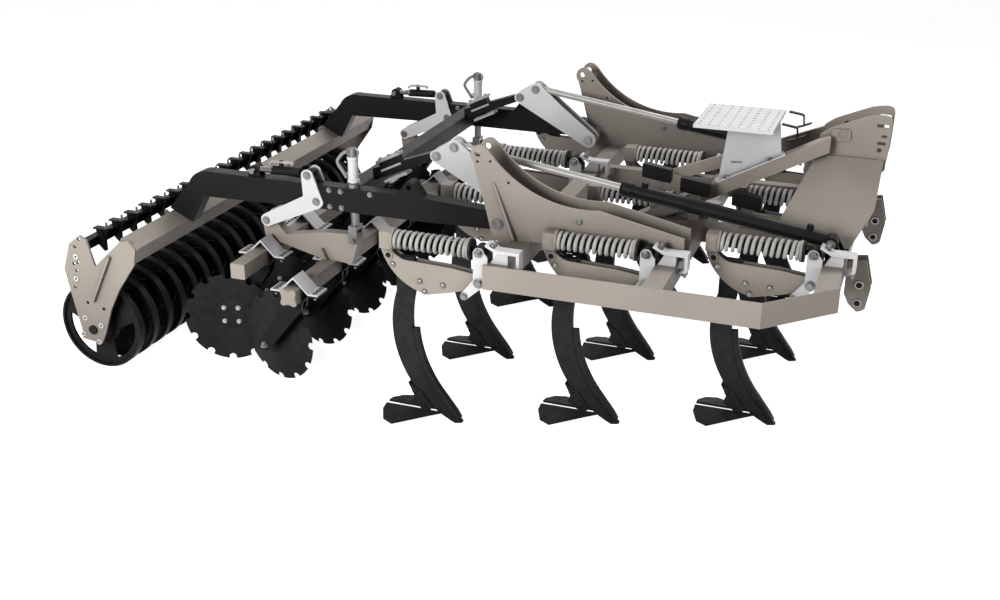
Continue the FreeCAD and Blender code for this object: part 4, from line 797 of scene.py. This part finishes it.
class CULTIVATOR_OT_step(bpy.types.Operator):
    """Build the step from a sheet with real holes, its web and its bolted foot"""

    bl_idname = "cultivator.step"
    bl_label = "Step"

    SHEET_PLACE = (at(706), -251)
    SHEET_SIZE = np.array([402, 460])
    SHEET_TOP = 1448.0
    STRUT_TOP = 1366
    STRUT_SLOPE = (1366 - 910.3) / 997
    STRUT_START = (at(255), -(114 + 30 * math.cos(SPLAY) + 0.3))
    FOOT = (-572, -225)

    def execute(self, context):
        hole = context.scene.cultivator_sizes.step_hole * HALF
        sheet = new_mesh("step_sheet", self.sheet(hole), "white_paint")
        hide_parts("step_platform")
        ahead, aside = math.cos(SPLAY), math.sin(SPLAY)
        x, y = self.STRUT_START
        turn = facing([(x, y, 0)], (0, 0, 1), (-aside, ahead, 0), 1, 0)
        new_mesh("step_web", self.web().copied(turn), "white_paint", bevel=1)
        run, side = np.array([(-520, 20), (-520, -20), (-300, 20), (-300, -20)], float).T
        places = np.c_[x + run * ahead - side * aside, y + run * aside + side * ahead,
                       self.strut_height(run) + 9]
        tilt = (-self.STRUT_SLOPE * ahead, -self.STRUT_SLOPE * aside, 1)
        fasten("step_bolts", HEX_BOLT, "frame", "zinc", places, tilt, 0.8, (0, 1, 0))
        return {"FINISHED"}

    def strut_height(self, run):
        """Return the strut's upper face at a run (negative rearwards) from its start."""
        return self.STRUT_TOP + run * self.STRUT_SLOPE

    def sheet(self, hole):
        """Return a sheet of square cells with a round hole each: rings on both outlines."""
        columns, rows = 8, 9
        cell = self.SHEET_SIZE / (columns, rows)
        ray = round_section(1, 16)
        square = ray / np.abs(ray).max(axis=1, keepdims=True) * (cell / 2)
        circle = ray * hole
        points = np.concatenate([
            np.c_[loop, np.full(16, z)]
            for loop, z in ((square, 2.0), (circle, 2.0), (circle, -2.0), (square, -2.0))])
        x, y = self.SHEET_PLACE
        i, j = np.meshgrid(np.arange(columns), np.arange(rows), indexing="ij")
        places = np.stack([x + (i - (columns - 1) / 2) * cell[0],
                           y + (j - (rows - 1) / 2) * cell[1],
                           np.full(i.shape, self.SHEET_TOP)], -1)
        cells = Shape(points, tube_faces(4, 16)[:1]).copied(shifts(places.reshape(-1, 3)))
        rim = bar_section(*self.SHEET_SIZE, 1)
        path = np.c_[np.r_[rim, rim[:1]] + (x, y), np.full(len(rim) + 1, self.SHEET_TOP - 7)]
        return joined(cells, swept(path, bar_section(3, 18, 0.5)))

    def web(self):
        """Return the slotted web and its foot flange, along the strut's own direction."""
        rear, front = self.FOOT
        low, high = (self.strut_height(run) for run in self.FOOT)
        outline = [(-557, low + 11), (-240, high - 2), (-262, 1446), (-520, 1446)]
        web = plate(outline, 4, 8, [obround(-470, low + 112, 60, 5)], 3)
        flange = upright(slab([(rear, low + 0.3), (front, high + 0.3), (front, high + 9),
                               (rear, low + 9)], 60))
        return joined(web, flange)


class CULTIVATOR_OT_lift_fittings(bpy.types.Operator):
    """Set the bolts, clips, threads and handles of the lift arms and depth struts"""

    bl_idname = "cultivator.lift_fittings"
    bl_label = "Lift fittings"

    ARM_BOLTS = [(2728, 1036), (2661, 1036), (2491, 1038), (2726, 945), (2658, 945),
                 (3750, 789), (3645, 729)]
    LINK = ((2850, 1106), (3180, 1094))
    STRUT = ((2212, 1211), (2620, 1014))

    CRANK = ((2850, 1106), (2802, 966), (3112, 824))
    ROCKER_PINS = ((2111, 1269), (2212, 1211))
    SPINDLE = 2601

    def execute(self, context):
        fasten_cheeks("lift", [
            (name, kind, "zinc", [(at(back), z) for back, z in spots], middles, half, size)
            for name, kind, spots, middles, half, size in (
                ("lift_arm_bolts", HEX_BOLT, self.ARM_BOLTS, ARMS, 40, 0.9),
                ("crank_pin_heads", PIN_HEAD, self.CRANK, ARMS, 50.3, 0.8),
                ("rocker_pin_heads", PIN_HEAD, self.ROCKER_PINS, ROCKERS, 45, 0.9))])
        self.turnbuckles()
        self.spindles()
        self.clips()
        return {"FINISHED"}

    def turnbuckles(self):
        """Add the bright thread, the clip over the link and its knob."""
        start, end = (np.array([at(back), 0, z]) for back, z in self.LINK)
        way = (end - start) / np.linalg.norm(end - start)
        ridges = np.arange(228, 308, 2.5)
        thread = turned(np.c_[np.where(np.arange(len(ridges)) % 2, 14.6, 16.2), ridges], 16)
        nut = turned([(22, 222, 1), (22, 240, 1)])
        rod = joined(*(shape.copied(facing(start, way)) for shape in (thread, nut)))
        clip = swept(flowing([(at(2958), 0, 1136), (at(2964), 0, 1150), (at(3080), 0, 1147),
                              (at(3094), 0, 1130)], 8), bar_section(28, 9, 1.5), (0, 1, 0))
        knob = turned([(11, -24), (13, -22), (13, 6), (11, 9), (4, 9)]).moved(at(3026), 0, 1146)
        new_mesh("turnbuckle_threads", repeated(rod, ARMS), "zinc", "lift")
        new_mesh("turnbuckle_clips", repeated(clip, ARMS), "chrome_rod", "lift")
        new_mesh("turnbuckle_knobs", repeated(knob, ARMS), "black_paint", "lift")

    def spindles(self):
        """Add the sleeve, the loop and the flat crank handle on each spindle."""
        x = at(self.SPINDLE)
        sleeve = turned([(24, 0), (30, 0), (31.5, 3), (31.5, 16), (27.5, 19), (27.5, 122),
                         (30.5, 125), (30.5, 138), (29, 141), (22, 141)], 24).moved(x, 0, 1084)
        new_mesh("spindle_sleeves", repeated(sleeve, ARMS), "white_paint", "lift")
        angle = np.linspace(0, 2 * np.pi, 25)
        loop = np.c_[x + 32 * np.cos(angle), np.zeros(25), 1247 + 23 * np.sin(angle)]
        ring = swept(loop, round_section(6.5), (0, 1, 0))
        ring.faces = ring.faces[:1]
        handle = swept(flowing([(x, 24, 1243), (at(2662), 24, 1238), (at(2711), 24, 1179),
                                (at(2652), 24, 1097)], 26), bar_section(9, 19, 2), (0, 1, 0))
        grip = turned([(13, 0), (15, 6), (15, 84), (12, 92)]).copied(
            facing([(at(2656), 24, 1104)], (0, 1, 0)))
        new_mesh("spindle_loops", repeated(ring, ARMS), "zinc", "lift", smooth=True)
        new_mesh("spindle_handles", repeated(joined(handle, grip), ARMS), "zinc", "lift")

    def clips(self):
        """Stack bright clips and black blocks about each depth strut."""
        start, end = (np.array([at(back), 0, z]) for back, z in self.STRUT)
        way = (end - start) / np.linalg.norm(end - start)
        up = np.cross((0, 1, 0), way)
        up = up if up[2] > 0 else -up
        middle = start + way * 285
        bright, dark = [], []
        for rise, long, thick, where in ((84, 150, 16, bright), (58, 118, 34, dark),
                                         (33, 132, 14, bright), (-28, 150, 16, bright)):
            ends = [middle + up * rise + way * reach for reach in (-long / 2, long / 2)]
            where.append(swept(ends, bar_section(66, thick, 3), (0, 1, 0)))
        spots = [middle + up * 92 + way * reach for reach in (-55, 0, 55)]
        heads = DOME_BOLT.copied(facing(spots, up, (0, 1, 0), 0.9))
        for name, shape, finish, bevel in (
                ("depth_clips", joined(*bright), "chrome_rod", 1),
                ("depth_blocks", joined(*dark), "black_paint", 1),
                ("depth_clip_bolts", heads, "zinc", 0)):
            new_mesh(name, repeated(shape, ROCKERS), finish, "lift", bevel=bevel)


class CULTIVATOR_OT_roller_fittings(bpy.types.Operator):
    """Set the washers of the roller's end plates and the bolted scrapers' heads"""

    bl_idname = "cultivator.roller_fittings"
    bl_label = "Roller fittings"

    WASHERS = [(56, 419), (72, 290), (46, 63), (-53, 31), (70, -37), (-27, -70)]
    ROLLER = (3940, 250)
    COUNT = 20
    PITCH = 140

    def execute(self, context):
        spots = [(at(self.ROLLER[0] + back), self.ROLLER[1] + z) for back, z in self.WASHERS]
        fasten_cheeks("lift", (
            ("end_plate_washers", WASHER_BOLT, "white_paint", spots, [(0, 0)], 1488, 1),
            # Black discs in the washers: painted shade of their holes.
            ("end_plate_washer_painted_shade", WASHER_PAINTED_SHADE, "black_paint", spots, [(0, 0)], 1488, 1)))
        lanes = (np.arange(self.COUNT) - (self.COUNT - 1) / 2) * self.PITCH
        head = slab(softened([(-46, -22), (46, -22), (46, 22), (-46, 22)], 5, 3), 8)
        web = plate([(-30, -58), (14, -58), (40, 0), (-40, 0)], 4, 10, (), 3)
        low = np.c_[lanes * 0 + at(3928), lanes, lanes * 0 + 788]
        new_mesh("scraper_holders", joined(head, web).copied(shifts(low)), "black_paint", "lift",
                 bevel=1.5)
        stud = turned([(17, -1), (17, 3), (11, 3.2, 1), (11, 11, 1), (7, 11.2), (7, 34),
                       (6, 35)], 12)
        fasten("scraper_studs", stud, "lift", "zinc", low + (30, 0, 4), (0, 0, 1), 0.9, (0, 1, 0))
        fasten("scraper_bolts", HEX_BOLT, "lift", "zinc", low + (-2, -5, -26), (0, -1, 0), 0.7)
        return {"FINISHED"}


class CULTIVATOR_OT_gang_fittings(bpy.types.Operator):
    """Set the bolts of the discs, stalks and saddles, and cap the disc beams"""

    bl_idname = "cultivator.gang_fittings"
    bl_label = "Disc gang fittings"

    AXLE_BACK = 205
    LEVER = ((2782, 702), (2760, 650), (2735, 612))

    def execute(self, context):
        for row, back, height, first, side, hub, ends in DISC_ROWS:
            stalks = first + DISC_PITCH * np.arange(6)
            axle = at(back + self.AXLE_BACK)
            self.hubs(row, axle, stalks + STALK_OFFSET * side, hub, side)
            places, outward = on_cheeks([(axle, hub)], np.c_[np.zeros(6), stalks], 34)
            clear = outward[:, 1] != side
            fasten(f"stalk_nuts_{row}", HEX_NUT, "lift", "zinc", places[clear], outward[clear], 1.1)
            self.saddle_bolts(row, at(back), height, stalks)
            self.caps(row, at(back), height, ends)
        lever = swept(flowing([(at(back), -984, z) for back, z in self.LEVER], 14),
                      bar_section(16, 5, 1), (0, 1, 0))
        new_mesh("gang_levers", both_sides(lever), "zinc", "lift")
        return {"FINISHED"}

    def hubs(self, row, x, lanes, height, side):
        """Put four bolts on every disc of a row, so that they turn with it."""
        out = np.array([math.sin(DISC_ANGLE), math.cos(DISC_ANGLE) * side, 0])
        corner = np.array([(-1, -1), (1, -1), (1, 1), (-1, 1)], float) * 40
        level = np.cross((0, 0, 1), out)
        for index, lane in enumerate(lanes, 1):
            centre = np.array([x, lane, height]) + out * 6
            spots = centre + corner[:, :1] * level + corner[:, 1:] * (0, 0, 1)
            fasten(f"disc_bolts_{row}_{index}", HEX_BOLT, f"disc_{row}_{index}", "white_paint",
                   spots, out, 0.85)

    def saddle_bolts(self, row, x, height, stalks):
        """Put three bolts on each flange of every saddle, with nuts below."""
        ahead, aside, lane = np.meshgrid([-112, 112], [-36, 0, 36], stalks, indexing="ij")
        spots = np.stack([x + ahead, lane + aside, lane * 0 + height], -1).reshape(-1, 3)
        for name, kind, side in (("bolts", HEX_BOLT, 1), ("nuts", HEX_NUT, -1)):
            fasten(f"saddle_{name}_{row}", kind, "lift", "zinc", spots + (0, 0, 9 * side),
                   (0, 0, side), 0.72, (0, 1, 0))

    def caps(self, row, x, height, ends):
        """Close the beam's ends: a lobed cap r = 46 - 12 cos 4a in front, a square one behind."""
        if row == "front":
            angle = np.arange(48) * (2 * np.pi / 48)
            outline = round_section(1, 48) * (46 - 12 * np.cos(4 * angle))[:, None]
        else:
            outline = softened([(-42, -42), (42, -42), (42, 42), (-42, 42)], 8)
        cap = upright(slab(outline, 10))
        low, high = ends
        shape = joined(cap.moved(x, low + 3, height), cap.moved(x, high - 3, height))
        new_mesh(f"disc_beam_caps_{row}", shape, "tan_paint", "lift", bevel=1)


class CULTIVATOR_OT_tine_points(bpy.types.Operator):
    """Shape the bent shin plates and bars ahead of the tine legs, and the shares' brackets"""

    bl_idname = "cultivator.tine_points"
    bl_label = "Tine points"

    BRACKET = ((-454, 130), (-469, 92), (-384, 38), (-352, 69), (-411, 152), (-488, 196))
    BRACKET_BOLTS = ((-452, 150), (-398, 84))

    def execute(self, context):
        new_mesh("tine_shins", per_unit(self.shin()), "dark_steel", bevel=2)
        new_mesh("share_brackets", per_unit(plate(self.BRACKET, 6, 46, (), 3)), "dark_steel",
                 bevel=1.5)
        fasten("share_bracket_bolts", DOME_BOLT, "frame", "dark_steel",
               *on_cheeks(self.BRACKET_BOLTS, UNITS, 23), 0.8)
        return {"FINISHED"}

    def shin(self):
        """Return a bar along an arc ahead of the leg: (x0 - r cos a, z0 - r sin a), then its point.

        Its width across grows downwards and its thickness shrinks near the point.
        """
        angle = np.radians(np.linspace(4.4, 42, 14))
        arc = np.stack([202 - 646 * np.cos(angle), angle * 0, 549 - 646 * np.sin(angle)], -1)
        path = np.concatenate([arc, [(-232, 0, 60), (-208, 0, 24)]])
        blade = swept(path, bar_section(30, 32, 4), (0, 1, 0))
        run = np.repeat(np.linspace(0, 1, len(path)), 8)
        thin = np.interp(run, [0, 0.8, 1], [1, 0.9, 0.35])
        wide = np.interp(run, [0, 1], [1, 1.7])
        middle = np.repeat(path, 8, axis=0)
        return Shape(middle + (blade.points - middle) * np.c_[thin, wide, thin], blade.faces)


class CULTIVATOR_OT_stage(bpy.types.Operator):
    """Light a plain studio with a pale floor and set the camera"""

    bl_idname = "cultivator.stage"
    bl_label = "Studio"

    def execute(self, context):
        view = context.scene.cultivator_view
        reach = view.floor * 1000
        edge = np.linspace(-reach, reach, 9)
        x, y = np.meshgrid(edge, edge, indexing="ij")
        i, j = np.meshgrid(np.arange(8), np.arange(8), indexing="ij")
        cells = np.stack([i * 9 + j, (i + 1) * 9 + j, (i + 1) * 9 + j + 1, i * 9 + j + 1], -1)
        self.floor_material()
        floor = new_mesh("studio_floor", Shape(np.stack([x, y, x * 0], -1), [cells.reshape(-1, 4)]),
                         "floor", None)
        self.world(context)
        self.lamps(context)
        self.camera(context, view)
        context.scene.view_settings.view_transform = "Standard"
        return {"FINISHED"}

    def floor_material(self):
        """Make the floor white to the camera and in mirrors, with soft shadows left on it."""
        nodes = Nodes(bpy.data.materials.new("floor"))
        seen = nodes.background_ray()
        tone = nodes.steps(nodes.noise(0.7, 2), 0, 1, 0.98, 1)
        glow = nodes.combine("MULTIPLY", nodes.combine("MULTIPLY", seen, tone), FLOOR_GLOW)
        nodes.feed(Base_Color=nodes.steps(seen, 0, 1, 0.3, 0.86), Roughness=0.9,
                   Specular_IOR_Level=0.0, Emission_Color=WHITE, Emission_Strength=glow)

    def world(self, context):
        """Make the sky white to the camera and in mirrors, and dimmer as a light."""
        world = bpy.data.worlds.new("studio")
        nodes = Nodes(world, "Background")
        nodes.feed(Color=WHITE, Strength=nodes.steps(nodes.background_ray(), 0, 1, SKY_LIGHT, 1))
        context.scene.world = world

    def lamps(self, context):
        """Hang soft lamps, each aimed at the machine's middle."""
        for name, place, size, power in LAMPS:
            lamp = bpy.data.lights.new(name, "AREA")
            lamp.shape = "DISK"
            lamp.size = size
            lamp.energy = power
            obj = bpy.data.objects.new(name, lamp)
            aim = (Vector((0, 0, 0.6)) - Vector(place)).to_track_quat("-Z", "Y")
            obj.matrix_world = Matrix.Translation(place) @ aim.to_matrix().to_4x4()
            context.scene.collection.objects.link(obj)

    def camera(self, context, view):
        """Stand the camera where the photograph was taken from."""
        data = bpy.data.cameras.new("view")
        data.lens = view.lens
        data.sensor_width = 36
        data.clip_end = 200
        camera = bpy.data.objects.new("view", data)
        context.scene.collection.objects.link(camera)
        camera.matrix_world = (Matrix.Translation(view.place) @ Matrix.Rotation(view.turn, 4, "Z")
                               @ Matrix.Rotation(math.pi / 2 - view.dip, 4, "X")
                               @ Matrix.Rotation(view.roll, 4, "Z"))
        context.scene.camera = camera


class CULTIVATOR_PT_panel(bpy.types.Panel):
    """List the steps that dress the cultivator"""

    bl_idname = "CULTIVATOR_PT_panel"
    bl_label = "Cultivator"
    bl_space_type = "VIEW_3D"
    bl_region_type = "UI"
    bl_category = "Cultivator"

    def draw(self, context):
        for step in STEPS:
            self.layout.operator(step.bl_idname)
        for group in (getattr(context.scene, name) for name in GROUPS):
            for name in group.__annotations__:
                self.layout.prop(group, name)


STEPS = (
    CULTIVATOR_OT_finishes,
    CULTIVATOR_OT_springs,
    CULTIVATOR_OT_tine_fasteners,
    CULTIVATOR_OT_tine_points,
    CULTIVATOR_OT_frame_fasteners,
    CULTIVATOR_OT_mast,
    CULTIVATOR_OT_step,
    CULTIVATOR_OT_lift_fittings,
    CULTIVATOR_OT_roller_fittings,
    CULTIVATOR_OT_gang_fittings,
    CULTIVATOR_OT_stage,
)
GROUPS = {
    "cultivator_look": CultivatorLook,
    "cultivator_sizes": CultivatorSizes,
    "cultivator_view": CultivatorView,
}
CLASSES = (*GROUPS.values(), *STEPS, CULTIVATOR_PT_panel)


def register():
    for kind in CLASSES:
        bpy.utils.register_class(kind)
    for name, group in GROUPS.items():
        setattr(bpy.types.Scene, name, bpy.props.PointerProperty(type=group))


def unregister():
    for name in GROUPS:
        delattr(bpy.types.Scene, name)
    for kind in reversed(CLASSES):
        bpy.utils.unregister_class(kind)


def main():
    """Dress the cultivator."""
    register()
    for step in STEPS:
        getattr(bpy.ops.cultivator, step.bl_idname.split(".")[1])()


if __name__ == "__main__":
    main()
